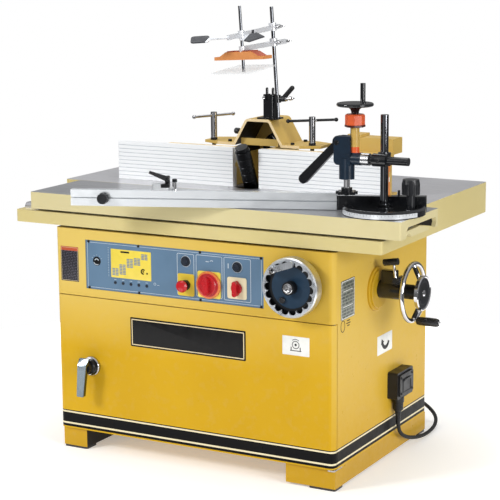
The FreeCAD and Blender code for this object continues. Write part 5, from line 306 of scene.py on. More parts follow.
def dressed(material, colour, rough, relief=None, strength=0.0, depth=0.0, metal=None):
    """A material with its fields of colour, roughness, relief and metal on the shader."""
    tree = material.node_tree
    fields = {"Base Color": colour, "Roughness": rough}
    if relief is not None:
        bump = node(tree, "ShaderNodeBump", {"Height": relief, "Strength": strength, "Distance": depth})
        fields["Normal"] = bump.outputs["Normal"]
    if metal is not None:
        fields["Metallic"] = metal
    for socket, field in fields.items():
        tree.links.new(field, tree.nodes["Principled BSDF"].inputs[socket])
    return material


def surface_place(material, stretch=(1, 1, 1)):
    """Object coordinates, drawn out along the axes where a pattern has a direction."""
    place = node(material.node_tree, "ShaderNodeTexCoord", {}).outputs["Object"]
    if stretch == (1, 1, 1):
        return place
    return node(material.node_tree, "ShaderNodeMapping", {"Vector": place, "Scale": stretch}).outputs["Vector"]


def axes_of(vector):
    return node(vector.id_data, "ShaderNodeSeparateXYZ", {"Vector": vector}).outputs[:]


def place_on(material):
    """Where the surface lies on the machine, across, back and up."""
    return axes_of(surface_place(material))


def facing_of(field):
    """Which way the surface faces, across, back and up, in the finish that has the field."""
    return axes_of(node(field.id_data, "ShaderNodeTexCoord", {}).outputs["Normal"])


def speckle(material, scale, detail=4.0, stretch=(1, 1, 1), roughness=0.55):
    """A noise field over the surface."""
    sockets = {"Vector": surface_place(material, stretch), "Scale": scale, "Detail": detail, "Roughness": roughness}
    return node(material.node_tree, "ShaderNodeTexNoise", sockets).outputs["Fac"]


def ranged(field, low, high, start=0.3, end=0.7):
    """A field brought between two values."""
    sockets = {"Value": field, "From Min": start, "From Max": end, "To Min": low, "To Max": high}
    return node(field.id_data, "ShaderNodeMapRange", sockets).outputs["Result"]


def joined_by(operation, first, second):
    """Two fields, or a field and a value, brought together."""
    tree = (second if isinstance(first, (int, float)) else first).id_data
    return node(tree, "ShaderNodeMath", {0: first, 1: second}, operation=operation).outputs["Value"]


def blended(share, first, second):
    """A colour between two, each a colour or a field."""
    first, second = ((*value, 1) if isinstance(value, tuple) else value for value in (first, second))
    return node(share.id_data, "ShaderNodeMix", {0: share, 6: first, 7: second}, data_type="RGBA").outputs[2]


def layered(shown, *layers):
    """A colour with others laid over it, each where its mask says so."""
    for mask, colour in layers:
        shown = blended(mask, shown, colour)
    return shown


above = partial(joined_by, "GREATER_THAN")
below = partial(joined_by, "LESS_THAN")
both = partial(joined_by, "MULTIPLY")
either = partial(joined_by, "MAXIMUM")
plus = partial(joined_by, "ADD")
less = partial(joined_by, "SUBTRACT")


def between(field, low, high):
    return both(above(field, low), below(field, high))


def reach_from(first, first_middle, second, second_middle):
    """Distance from an axis, from the two coordinates across it."""
    squares = [joined_by("POWER", less(side, middle), 2)
               for side, middle in ((first, first_middle), (second, second_middle))]
    return joined_by("SQRT", plus(*squares), 0)


def reach_in_front(axis, across, up):
    """Distance from an axis that runs from front to back."""
    middle = at(*axis)
    return reach_from(across, middle.x, up, middle.z)


def paint_field(material, colour, deep):
    """Sprayed paint: slow drifts of shade with a little dust in them."""
    base = blended(ranged(speckle(material, 2.6, 5), 0, 1), colour, deep)
    dust = ranged(speckle(material, 38, 6), 0, 0.16, 0.52, 0.78)
    return blended(dust, base, tuple(0.7 * part + 0.3 * max(deep) for part in deep))


def peeled(material, shown, smooth, rough):
    """Satin paint with the fine peel of a spray gun."""
    fields = ranged(speckle(material, 55, 5), smooth, rough), speckle(material, 620, 2)
    return dressed(material, shown, *fields, 0.16, 0.0004)


def sprayed_paint(name, colour, deep, roughness=0.34, coat=0.15, shine=0.5, painted_shade_mask=None):
    """Satin paint over sheet or cast metal, with painted shade in near black where a mask says so."""
    material = finish(name, colour, 0, roughness, shine, Coat_Weight=coat, Coat_Roughness=0.2)
    shown = paint_field(material, colour, deep)
    if painted_shade_mask:
        # Painted shade: near black where the mask says so
        shown = blended(painted_shade_mask(*place_on(material)), shown, (0.006, 0.005, 0.004))
    return peeled(material, shown, roughness - 0.07, roughness + 0.09)


BLACK_STRIPES = ((0.0920, 0.1260), (0.1315, 0.1350), (0.0770, 0.0860))
PALE_STRIPE = (0.0770, 0.1350)


def striped_paint(name, colour, deep):
    """Cabinet paint with a black band and two pinstripes low down, painted paler on faces towards the right as
    painted light, and paler higher up and towards the left as a painted sheen.
    """
    material = finish(name, colour, 0, 0.34, 0.1)
    across, back, up = place_on(material)
    face_across, face_back, _ = facing_of(up)
    # Painted light: faces towards the right are painted paler, and shine is a painted sheen that pales the paint
    # higher up and towards the left
    painted_side_light = both(above(face_across, 0.5), ranged(up, 0.08, 0.42, 0.15, 0.5))
    shine = both(ranged(up, 0, 1, 0.36, 0.60), ranged(across, 0.72, 0.28, -0.25, 0.40))
    paint = blended(either(painted_side_light, shine), paint_field(material, colour, deep), (0.68, 0.52, 0.160))
    sideways = both(less(across, across_at(0)), face_across)
    frontways = both(less(back, back_at(-67)), face_back)
    outside = above(plus(sideways, frontways), 0.05)
    band, upper, lower = (between(up, *stripe) for stripe in BLACK_STRIPES)
    shown = layered(paint, (both(outside, between(up, *PALE_STRIPE)), (0.74, 0.66, 0.44)),
                    (both(outside, either(band, either(upper, lower))), (0.004, 0.004, 0.0045)))
    return peeled(material, shown, 0.27, 0.43)


TUNNEL_FLOOR = 0.985


def hood_paint(name, colour, deep):
    """Hood paint with a painted highlight on its front edges, painted shade high in the tunnel and painted light on
    the tunnel's lower inner faces.
    """
    material = finish(name, colour, 0, 0.42, Coat_Weight=0.08, Coat_Roughness=0.25)
    across, back, up = place_on(material)
    face_across, _, face_up = facing_of(up)
    # Painted highlight: front faces left of the right end are painted pale
    edges = both(below(back, back_at(HOOD_FRONT + 0.7)), below(across, across_at(250)))
    inwards = both(less(across, across_at(2)), face_across)
    # Inner faces of the tunnel: painted shade, near black, above the tunnel floor height, and painted light, paler
    # than the paint, below it
    inside = either(below(face_up, -0.05), below(inwards, -0.0004))
    shown = layered(paint_field(material, colour, deep), (edges, (0.80, 0.63, 0.36)),
                    (both(inside, below(up, TUNNEL_FLOOR)), (0.86, 0.66, 0.24)),
                    (both(inside, above(up, TUNNEL_FLOOR)), (0.004, 0.003, 0.002)))
    rough = ranged(speckle(material, 55, 5), 0.36, 0.52)
    return dressed(material, shown, rough, speckle(material, 420, 3), 0.2, 0.0004)


def ground_field(material, light, dark):
    """Surface grinding: fine lines along the table with slow stains."""
    lines = speckle(material, 90, 6, (0.05, 6, 6), 0.7)
    base = blended(ranged(lines, 0, 1, 0.35, 0.65), light, dark)
    stains = ranged(speckle(material, 5, 6), 0, 0.35, 0.5, 0.75)
    return blended(stains, base, tuple(0.7 * part for part in dark)), lines


def table_paint(name, colour, deep, light, dark, polish, shine, hollow):
    """A casting painted on its sides, ground bright on top and painted near black as shade inside, the shaded part
    given as two corners.
    """
    material = finish(name, colour, 0, 0.35, shine)
    ground, lines = ground_field(material, light, dark)
    across, back, up = place_on(material)
    top = both(above(up, (TABLE_TOP - 0.6) / 1000), above(facing_of(up)[2], 0.9))
    low, high = (at(*corner) for corner in hollow)
    # Painted shade: the space inside the casting is painted near black
    inside = both(between(across, low.x, high.x), between(back, low.y, high.y))
    inside = both(inside, between(up, low.z, high.z))
    shown = layered(paint_field(material, colour, deep), (inside, (0.030, 0.027, 0.024)), (top, ground))
    relief = plus(both(lines, top), speckle(material, 620, 2))
    return dressed(material, shown, ranged(lines, 0.26, 0.40, 0.35, 0.65), relief, 0.1, 0.0003, both(top, polish))


def ground_steel(name):
    """Bare steel with grinding lines."""
    material = finish(name, (0.5, 0.5, 0.52), 0.7, 0.35)
    ground, lines = ground_field(material, (0.52, 0.52, 0.545), (0.38, 0.38, 0.405))
    return dressed(material, ground, ranged(lines, 0.28, 0.42, 0.35, 0.65), lines, 0.12, 0.0003)


def machined_metal(name, colour, dark, roughness, stretch=(4, 4, 0.3), black=None):
    """Bright metal with fine tool marks and handling stains, black where a mask says so."""
    material = finish(name, colour, 1.0, roughness, 0.25)
    marks = speckle(material, 160, 6, stretch, 0.7)
    stains = speckle(material, 22, 5)
    base = blended(ranged(marks, 0, 1, 0.35, 0.65), colour, dark)
    shown = blended(ranged(stains, 0, 0.35, 0.5, 0.75), base, dark)
    metal = None
    if black:
        mask = black(*place_on(material))
        shown = blended(mask, shown, (0.0035, 0.004, 0.005))
        metal = less(1, mask)
    return dressed(material, shown, ranged(stains, roughness * 0.7, roughness * 1.5), marks, 0.1, 0.0002, metal)


def plated(name, black=None, bright=0.84):
    """Chrome plate with a little handling haze, black where a mask says so."""
    material = finish(name, (0.80, 0.80, 0.82), 1.0, 0.08, 0.25)
    smudge = speckle(material, 30, 6)
    dim = bright * 0.8
    shown = blended(ranged(smudge, 0, 1), (bright, bright, bright + 0.02), (dim, dim, dim + 0.02))
    rough = ranged(smudge, 0.05, 0.16)
    metal = None
    if black:
        mask = black(*place_on(material))
        shown = blended(mask, shown, (0.007, 0.008, 0.010))
        rough = plus(rough, both(mask, 0.2))
        metal = less(1, mask)
    return dressed(material, shown, rough, speckle(material, 900, 2), 0.03, 0.0001, metal)


def moulded_plastic(name, colour, deep, roughness, grain=0.12, shine=0.5, patch=None, patch_colour=(0, 0, 0)):
    """Moulded plastic with a fine spark-eroded grain and rubbed shine, another colour where a mask says so."""
    material = finish(name, colour, 0, roughness, shine)
    wear = speckle(material, 34, 5)
    shown = blended(ranged(wear, 0, 1), colour, deep)
    if patch:
        shown = blended(patch(*place_on(material)), shown, patch_colour)
    rough = ranged(wear, roughness - 0.08, roughness + 0.12)
    return dressed(material, shown, rough, speckle(material, 1500, 3), grain, 0.0003)


def black_with_chrome(name, bright):
    """Black moulding or paint with one plated stretch."""
    material = finish(name, (0.008, 0.009, 0.011), 0, 0.3, 0.4)
    wear = speckle(material, 34, 5)
    mask = bright(*place_on(material))
    black = blended(ranged(wear, 0, 1), (0.007, 0.008, 0.010), (0.014, 0.015, 0.018))
    rough = less(ranged(wear, 0.24, 0.40), both(mask, 0.17))
    shown = blended(mask, black, (0.78, 0.78, 0.80))
    return dressed(material, shown, rough, speckle(material, 1200, 3), 0.08, 0.0003, mask)


def cast_iron(name):
    """Rough grey casting."""
    material = finish(name, (0.10, 0.10, 0.105), 0.2, 0.6)
    grain = speckle(material, 260, 8)
    shown = blended(ranged(speckle(material, 14, 6), 0, 1), (0.12, 0.12, 0.125), (0.06, 0.06, 0.06))
    return dressed(material, shown, ranged(grain, 0.5, 0.75), grain, 0.35, 0.0008)


def clear_sheet(name):
    """Clear plastic with a faint haze."""
    material = finish(name, (0.93, 0.95, 0.96), 0, 0.05, IOR=1.45, Alpha=0.26)
    haze = speckle(material, 9, 4)
    shown = blended(ranged(haze, 0, 1), (0.94, 0.96, 0.97), (0.89, 0.92, 0.935))
    return dressed(material, shown, ranged(haze, 0.03, 0.09))


def anodised(name, colour, deep, polish, grooved=False):
    """Pale extruded aluminium with draw lines along its length, and painted shade in the grooves of the fence face.
    """
    material = finish(name, colour, polish, 0.36)
    lines = speckle(material, 120, 5, (0.04, 5, 5), 0.65)
    shown = blended(ranged(lines, 0, 1, 0.3, 0.7), colour, deep)
    if grooved:
        _, back, up = place_on(material)
        # Painted shade: the groove bottoms are painted darker
        groove = between(back, back_at(FENCE_FACE + 0.5), back_at(FENCE_FACE + 1.75))
        shown = blended(both(groove, above(up, 0.884)), shown, (0.58, 0.61, 0.64))
    dull = 0.3 if grooved else 0.12
    return dressed(material, shown, ranged(speckle(material, 26, 5), dull, dull + 0.14), lines, 0.08, 0.0003)


def panel_finish(name):
    """Grey-blue panel with coloured switch plates, rings and collars standing on it."""
    material = finish(name, (0.12, 0.20, 0.30), 0, 0.42, 0.4)
    across, back, up = place_on(material)
    grain = speckle(material, 420, 4)
    base = blended(ranged(speckle(material, 9, 5), 0, 1), (0.105, 0.185, 0.282), (0.088, 0.160, 0.248))
    proud, high = (below(back, back_at(PANEL_FACE - rise)) for rise in (0.4, 2.4))
    fitted = blended(above(across, across_at(130)), (0.66, 0.47, 0.035), (0.72, 0.63, 0.42))
    near_mains = below(reach_in_front(MAINS, across, up), 0.0405)
    near_stop = below(reach_in_front(STOP, across, up), 0.0185)
    fitted = layered(fitted, (above(up, 0.672), (0.010, 0.014, 0.022)), (both(high, near_mains), (0.70, 0.30, 0.045)),
                     (both(high, near_stop), (0.008, 0.008, 0.009)))
    return dressed(material, blended(proud, base, fitted), ranged(grain, 0.36, 0.5), grain, 0.08, 0.0003)


HEAD_BLACK = ((0.012, 0.024, 0.042), (0.007, 0.014, 0.025))
HEAD_ORANGE = ((0.70, 0.115, 0.030), (0.58, 0.085, 0.022))
HEAD_TAN = ((0.56, 0.37, 0.095), (0.48, 0.30, 0.070))
HEAD_TOP = 1.1459
BAR_START = 596.1


def clamp_head_finish(name):
    """Black clamp head with its tan riser, orange cap, plated ring and blackened bar."""
    material = finish(name, (0.008, 0.014, 0.024), 0, 0.3, 0.4)
    across, _, up = place_on(material)
    wear = speckle(material, 34, 5)
    black, orange, tan = (blended(ranged(wear, 0, 1), *shades) for shades in (HEAD_BLACK, HEAD_ORANGE, HEAD_TAN))
    ring = both(between(across, across_at(569.9), across_at(BAR_START)), below(up, 1.080))
    riser = both(between(up, 1.0685, HEAD_TOP + 0.0002), above(across, across_at(538.2)))
    shown = layered(black, (riser, tan), (both(riser, below(up, 1.086)), orange), (above(up, HEAD_TOP), orange),
                    (between(up, HEAD_TOP, 1.1525), (0.055, 0.008, 0.006)),
                    (above(across, across_at(BAR_START)), (0.010, 0.011, 0.013)), (ring, (0.62, 0.63, 0.65)))
    return dressed(material, shown, ranged(wear, 0.15, 0.3), speckle(material, 700, 3), 0.04, 0.0003, ring)


def guard_arm_finish(name):
    """Bright arms and clamps with dark spring-steel pads."""
    material = finish(name, (0.7, 0.7, 0.72), 1.0, 0.2)
    across, back, up = place_on(material)
    marks = speckle(material, 60, 6)
    bright = blended(ranged(marks, 0, 1), (0.94, 0.96, 0.99), (0.76, 0.78, 0.82))
    leaf = both(above(across, across_at(12)), below(back, back_at(-18)))
    dark = either(below(across, across_at(-90)), both(leaf, above(up, 1.375)))
    shown = blended(dark, bright, (0.034, 0.036, 0.044))
    rough = plus(ranged(marks, 0.14, 0.32), both(dark, 0.4))
    return dressed(material, shown, rough, marks, 0.06, 0.0002, both(less(1, dark), 0.4))


def shoe_finish(name):
    """Orange pressure shoe, deeper in colour on top."""
    material = finish(name, (0.72, 0.25, 0.06), 0, 0.36, 0.4)
    wear = speckle(material, 34, 5)
    side = blended(ranged(wear, 0, 1), (0.74, 0.300, 0.098), (0.66, 0.250, 0.075))
    shown = blended(ranged(facing_of(wear)[2], 0, 1, 0.1, 0.45), side, (0.46, 0.075, 0.022))
    return dressed(material, shown, ranged(wear, 0.3, 0.5), speckle(material, 240, 4), 0.25, 0.0006)


def printed_plate(name, ground, block, block_size, sideways, header=None, header_colour=(0, 0, 0)):
    """A plate with tidy rows of plain blocks, and a header above a height where there is one."""
    material = finish(name, ground, 0, 0.4, 0.3)
    tree = material.node_tree
    across, back, up = place_on(material)
    flat = node(tree, "ShaderNodeCombineXYZ", {"X": back if sideways else across, "Y": up}).outputs["Vector"]
    width, height = block_size
    sockets = {"Vector": flat, "Scale": 1, "Mortar Size": 0.0016, "Mortar Smooth": 0,
               "Brick Width": width, "Row Height": height}
    rows = node(tree, "ShaderNodeTexBrick", sockets, offset=0.37, squash=0.7, squash_frequency=3)
    wear = speckle(material, 40, 5)
    shown = blended(rows.outputs["Fac"], blended(ranged(wear, 0, 0.5), block, ground), ground)
    if header:
        shown = blended(above(up, header), shown, header_colour)
    return dressed(material, shown, ranged(wear, 0.3, 0.5))


# Masks from the place on the machine, across, back and up

def at_heights(low, high):
    """What lies between two heights."""
    return lambda across, back, up: between(up, low, high)


def at_reach(axis, low, high):
    """What lies between two distances from an axis that runs from front to back."""
    return lambda across, back, up: between(reach_in_front(axis, across, up), low, high)


def skid_painted_shade(across, back, up):
    """Painted shade, near black, on the right-facing side of the left skid."""
    return both(above(facing_of(up)[0], 0.5), below(across, across_at(0)))


def tilt_wheel_black(across, back, up):
    """Hub, arms and dial face of the tilt wheel."""
    axis = at(*TILT_AXIS)
    reach = reach_from(back, axis.y, up, axis.z)
    hub = both(below(reach, 0.0256), between(across, across_at(540), across_at(668.8)))
    face = both(below(reach, 0.0494), above(across, across_at(685.6)))
    arms = both(between(reach, 0.0256, 0.0835), below(across, across_at(668.8)))
    return either(arms, either(hub, face))


def screw_black(across, back, up):
    """Foot ring of each fence screw and cross bar of the right one."""
    reach = reach_from(across, across_at(194), back, back_at(66))
    bar = both(both(above(reach, 0.0118), above(up, 1.09)), above(across, across_at(0)))
    return either(bar, below(up, 1.0312))


def stop_post_black(across, back, up):
    """Post of the stop carrier, under the pivot of the flip stop."""
    return both(above(across, across_at(-47)), above(up, MITRE_BAR_TOP + 0.009))


def disc_black(across, back, up):
    """Hub and shaded border of the lift wheel's disc."""
    reach = reach_in_front(LIFT_AXIS, across, up)
    return either(below(reach, 0.0213), above(reach, 0.066))


def rim_painted_shade(across, back, up):
    """Painted shade, black, on the well behind the scalloped lip of the lift wheel."""
    return both(below(reach_in_front(LIFT_AXIS, across, up), 0.0886), above(back, back_at(-495.4)))


def coated(material, *names):
    """Puts a finish on nodes of the frame."""
    for name in names:
        nodes[name].data.materials.clear()
        nodes[name].data.materials.append(material)
    return material


coated(striped_paint("cabinet_yellow_striped", (0.57, 0.338, 0.0115), (0.515, 0.298, 0.0092)), "cabinet_shell",
       "door", "front_fascia")
coated(sprayed_paint("cabinet_yellow", (0.57, 0.345, 0.016), (0.515, 0.305, 0.012), 0.34, 0.05, 0.3), "tilt_boss")
coated(sprayed_paint("skid_yellow", (0.52, 0.300, 0.009), (0.46, 0.262, 0.007), 0.34, 0.05, 0.2, skid_painted_shade),
       "base_skids")
coated(hood_paint("hood_yellow", (0.62, 0.42, 0.105), (0.55, 0.36, 0.080)), "fence_hood")
coated(table_paint("bed_cream_ground_top", (0.62, 0.525, 0.245), (0.57, 0.475, 0.205), (0.60, 0.60, 0.62),
                   (0.46, 0.46, 0.485), 0.4, 0.4, ((-660, -425, 776), (660, 425, 815))), "table_casting")
# Painted reflection: the slide's ground top is given darker and bluer than the bed's, standing in for the dark
# surroundings it reflects
coated(table_paint("slide_cream_ground_top", (0.64, 0.565, 0.320), (0.59, 0.515, 0.275), (0.340, 0.345, 0.360),
                   (0.265, 0.270, 0.285), 0.3, 0.3, ((-604.7, -426.7, 823), (726.7, -160.3, 860.5))), "sliding_table")
coated(ground_steel("ground_table_steel"), "table_ring")
coated(panel_finish("panel_grey_blue"), "control_panel")
gloss_black = sprayed_paint("gloss_black_paint", (0.0075, 0.0085, 0.0105), (0.0045, 0.005, 0.0065), 0.13, 0, 0.6)
coated(gloss_black, "levelling_pads", "shaft_bearings", "mitre_base", "flip_stop", "cross_clamp", "clamp_lever",
       "clamp_wheel", "guard_holder")
black_plastic = moulded_plastic("black_moulded_plastic", (0.008, 0.0085, 0.010), (0.014, 0.0145, 0.017), 0.36,
                                0.12, 0.35)
coated(black_plastic, "power_fittings", "plug", "crank_grip", "fence_end_knob", "holder_lever")
coated(moulded_plastic("red_switch_plastic", (0.50, 0.012, 0.018), (0.40, 0.008, 0.013), 0.22, 0.03),
       "stop_button", "mains_knob", "selector_knob")
skirt_red = moulded_plastic("red_skirt_plastic", (0.50, 0.020, 0.024), (0.40, 0.014, 0.018), 0.22, 0.03, 0.5,
                            at_reach(MAINS, 0.0386, 1), (0.66, 0.19, 0.045))
dark_button = moulded_plastic("dark_button_plastic", (0.010, 0.015, 0.026), (0.018, 0.024, 0.036), 0.34, 0.05, 0.35)
coated(dark_button, "start_button", "reset_button")
orange_strip = moulded_plastic("orange_strip_plastic", (0.72, 0.25, 0.045), (0.64, 0.20, 0.035), 0.36, 0.05)
ridge_red = moulded_plastic("deep_orange_plastic", (0.46, 0.075, 0.022), (0.38, 0.055, 0.016), 0.4, 0.1, 0.3)
coated(shoe_finish("orange_shoe_plastic"), "pressure_shoe")
cap_orange = moulded_plastic("orange_cap_plastic", (0.70, 0.115, 0.030), (0.58, 0.085, 0.022), 0.3, 0.1, 0.4,
                             at_heights(0, 1.1535), (0.055, 0.008, 0.006))
coated(moulded_plastic("dark_blue_disc_plastic", (0.010, 0.029, 0.056), (0.014, 0.036, 0.068), 0.42, 0.2, 0.25,
                       disc_black, (0.0035, 0.004, 0.005)), "lift_wheel_disc")
chrome = plated("chrome_plate")
coated(plated("tilt_wheel_chrome", tilt_wheel_black, 0.7), "tilt_handwheel")
coated(plated("fence_screw_chrome", screw_black, 0.5), "fence_screw_left", "fence_screw_right")
coated(plated("plunger_chrome", at_heights(0, 0.9585)), "clamp_plunger")
rose_chrome = plated("handle_rose_chrome", at_reach(HANDLE, -1, 0.0262), 0.6)
stud_chrome = plated("stop_stud_chrome", at_heights(MITRE_BAR_TOP + 0.026, MITRE_BAR_TOP + 0.1))
coated(machined_metal("stop_carrier_metal", (0.86, 0.88, 0.90), (0.74, 0.77, 0.80), 0.3, black=stop_post_black),
       "stop_carrier")
coated(black_with_chrome("lock_lever_black", at_heights(0.6455, 0.6850)), "tilt_lock_lever")
coated(black_with_chrome("lock_knob_black", at_heights(0, 0.8955)), "mitre_lock_knob")
turned_steel = coated(machined_metal("turned_steel", (0.62, 0.62, 0.64), (0.40, 0.40, 0.42), 0.26), "slide_rails",
                      "door_hinges", "lift_carriage", "motor_pulley")
black_steel = coated(machined_metal("blackened_steel", (0.026, 0.027, 0.029), (0.014, 0.014, 0.015), 0.28),
                     "spindle_shaft", "spindle_collars")
coated(machined_metal("dark_polished_bar", (0.190, 0.196, 0.210), (0.110, 0.115, 0.127), 0.07), "clamp_column",
       "guard_post", "shoe_rod")
# The rim's mask paints shade black in the well behind its lip
coated(machined_metal("wheel_rim_metal", (0.78, 0.81, 0.85), (0.60, 0.63, 0.67), 0.3, (1, 6, 1), rim_painted_shade),
       "lift_wheel_rim")
coated(machined_metal("lift_grip_metal", (0.76, 0.79, 0.83), (0.58, 0.61, 0.65), 0.26), "lift_handle")
latch_metal = coated(machined_metal("door_handle_metal", (0.175, 0.21, 0.232), (0.13, 0.155, 0.17), 0.16),
                     "door_handle")
coated(anodised("fence_white_aluminium", (0.97, 0.98, 0.99), (0.88, 0.90, 0.915), 0.05, True), "fence_plate_left",
       "fence_plate_right")
coated(anodised("mitre_bar_aluminium", (0.86, 0.88, 0.90), (0.78, 0.82, 0.86), 0.6), "mitre_fence")
scale_white = anodised("scale_band_aluminium", (0.90, 0.92, 0.94), (0.72, 0.75, 0.78), 0.35)
coated(guard_arm_finish("guard_bright_steel"), "guard_arms")
coated(cast_iron("grey_cast_iron"), "trunnion_brackets", "tilt_frame")
coated(sprayed_paint("motor_grey_paint", (0.11, 0.12, 0.135), (0.08, 0.088, 0.10), 0.45), "motor")
rubber = coated(moulded_plastic("black_rubber", (0.010, 0.010, 0.011), (0.020, 0.020, 0.021), 0.6, 0.3, 0.3),
                "drive_belt", "lead")
coated(clear_sheet("clear_guard_plastic"), "clear_plate")
coated(clamp_head_finish("clamp_head_black_orange"), "clamp_head")
sleeve_black = moulded_plastic("black_sleeve_plastic", (0.006, 0.0065, 0.0075), (0.010, 0.0105, 0.012), 0.2, 0.03)
label_black = moulded_plastic("plate_black_print", (0.005, 0.005, 0.0055), (0.009, 0.009, 0.0095), 0.36, 0.03, 0.15)
label_cream = moulded_plastic("plate_cream_print", (0.72, 0.60, 0.36), (0.66, 0.54, 0.31), 0.36, 0.03)
label_white = moulded_plastic("plate_white_print", (0.76, 0.76, 0.73), (0.68, 0.68, 0.65), 0.34, 0.03)
label_yellow = moulded_plastic("chart_yellow_print", (0.76, 0.60, 0.070), (0.70, 0.54, 0.055), 0.34, 0.03)
label_grey = moulded_plastic("plate_dark_grey_print", (0.020, 0.021, 0.024), (0.030, 0.031, 0.034), 0.32, 0.03, 0.35)
cell_grey = moulded_plastic("chart_cell_print", (0.20, 0.26, 0.33), (0.16, 0.21, 0.28), 0.36, 0.03)
mark_grey = moulded_plastic("dial_grey_mark", (0.085, 0.090, 0.100), (0.060, 0.064, 0.072), 0.36, 0.03, 0.3)
line_white = moulded_plastic("panel_white_line", (0.52, 0.58, 0.64), (0.44, 0.50, 0.56), 0.36, 0.03)
plate_print = printed_plate("rating_plate_print", (0.225, 0.240, 0.205), (0.016, 0.022, 0.018), (0.026, 0.0105), True)
card_print = printed_plate("fascia_card_print", (0.010, 0.010, 0.013), (0.105, 0.095, 0.120), (0.0135, 0.0055), False,
                           0.6915, (0.42, 0.075, 0.030))


# Lead on the right side, from the plug down to the floor and back up to the gland

LEAD_ROUTE = [
    (541.0, 12.0, 134.0), (541.0, 12.0, 98.0), (542.0, 32.0, 66.0), (545.0, 76.0, 42.0), (549.0, 138.0, 23.0),
    (552.0, 210.0, 12.0), (551.0, 282.0, 11.0), (543.0, 346.0, 18.0), (518.0, 400.0, 32.0), (472.0, 428.0, 54.0),
    (422.0, 426.0, 80.0), (382.0, 402.0, 100.0), (366.0, 366.0, 108.0), (366.0, 329.5, 108.0),
]
LEAD_DIAMETER = 0.013
SLEEVE_BORE = 6.7
SLEEVE_END = 7.1
SLEEVE_RIBS = 7
RIB_STEPS = ((0, 0.1), (0, 0.65), (0.7, 0.75), (0.7, 1))
GLAND = (366.0, BACK_FACE, 108.0)


def sleeve(radius, length):
    """A ribbed sleeve that tapers down to the lead."""
    profile = [(SLEEVE_BORE, 0), (radius, 0)]
    for rib in range(SLEEVE_RIBS):
        wide = radius + (SLEEVE_END - radius) * (rib + 0.5) / SLEEVE_RIBS
        profile += [(wide - groove, length * (rib + share) / SLEEVE_RIBS) for groove, share in RIB_STEPS]
    return turned([*profile, (SLEEVE_BORE, length)], 32)


def mains_lead():
    """The lead as one smooth curve along its route, the ribs of its plug and the nut of its gland."""
    curve = bpy.data.curves.new("mains_lead", "CURVE")
    curve.dimensions = "3D"
    curve.bevel_depth = LEAD_DIAMETER / 2
    curve.bevel_resolution = 6
    curve.use_fill_caps = True
    spline = curve.splines.new("NURBS")
    spline.points.add(len(LEAD_ROUTE) - 1)
    for point, place in zip(spline.points, LEAD_ROUTE):
        point.co = (*at(*place), 1)
    spline.order_u = 3
    spline.use_endpoint_u = True
    spline.resolution_u = 16
    curve.materials.append(rubber)
    lead = in_scene("mains_lead", curve)
    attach(lead, "machine")
    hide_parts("lead")
    ribs = [(turned([(16.6, 0), (17.7, 0.8), (17.7, 2.4), (16.6, 3.2)], 40), moved(0, 0, 24 + step * 5))
            for step in range(5)]
    grip = piece(FACING_UP, at(*LEAD_ROUTE[0]), "plug_ribs", "machine", "black_plastic", black_plastic,
                 *ribs, (sleeve(8.9, 30), about("X", 180)))
    piece(FACING_BACK, at(*GLAND), "gland_nut", "machine", "black_plastic", black_plastic,
          hex_nut(38.8, 9.4, 14.6), (sleeve(12.5, 36), moved(0, 0, 23.5)))


# Control panel

CHART_STEPS = [(0, 5), (1, 7), (6, 6), (8, 5), (12, 4)]
SPEED_DIAL = (-355, 664.5)
CHART_ARC = (-173, 645)
KEY_PLACES = [-283 + key * 30.7 for key in range(5)]
MAINS_MIDDLE = (MAINS[0], MAINS[2])


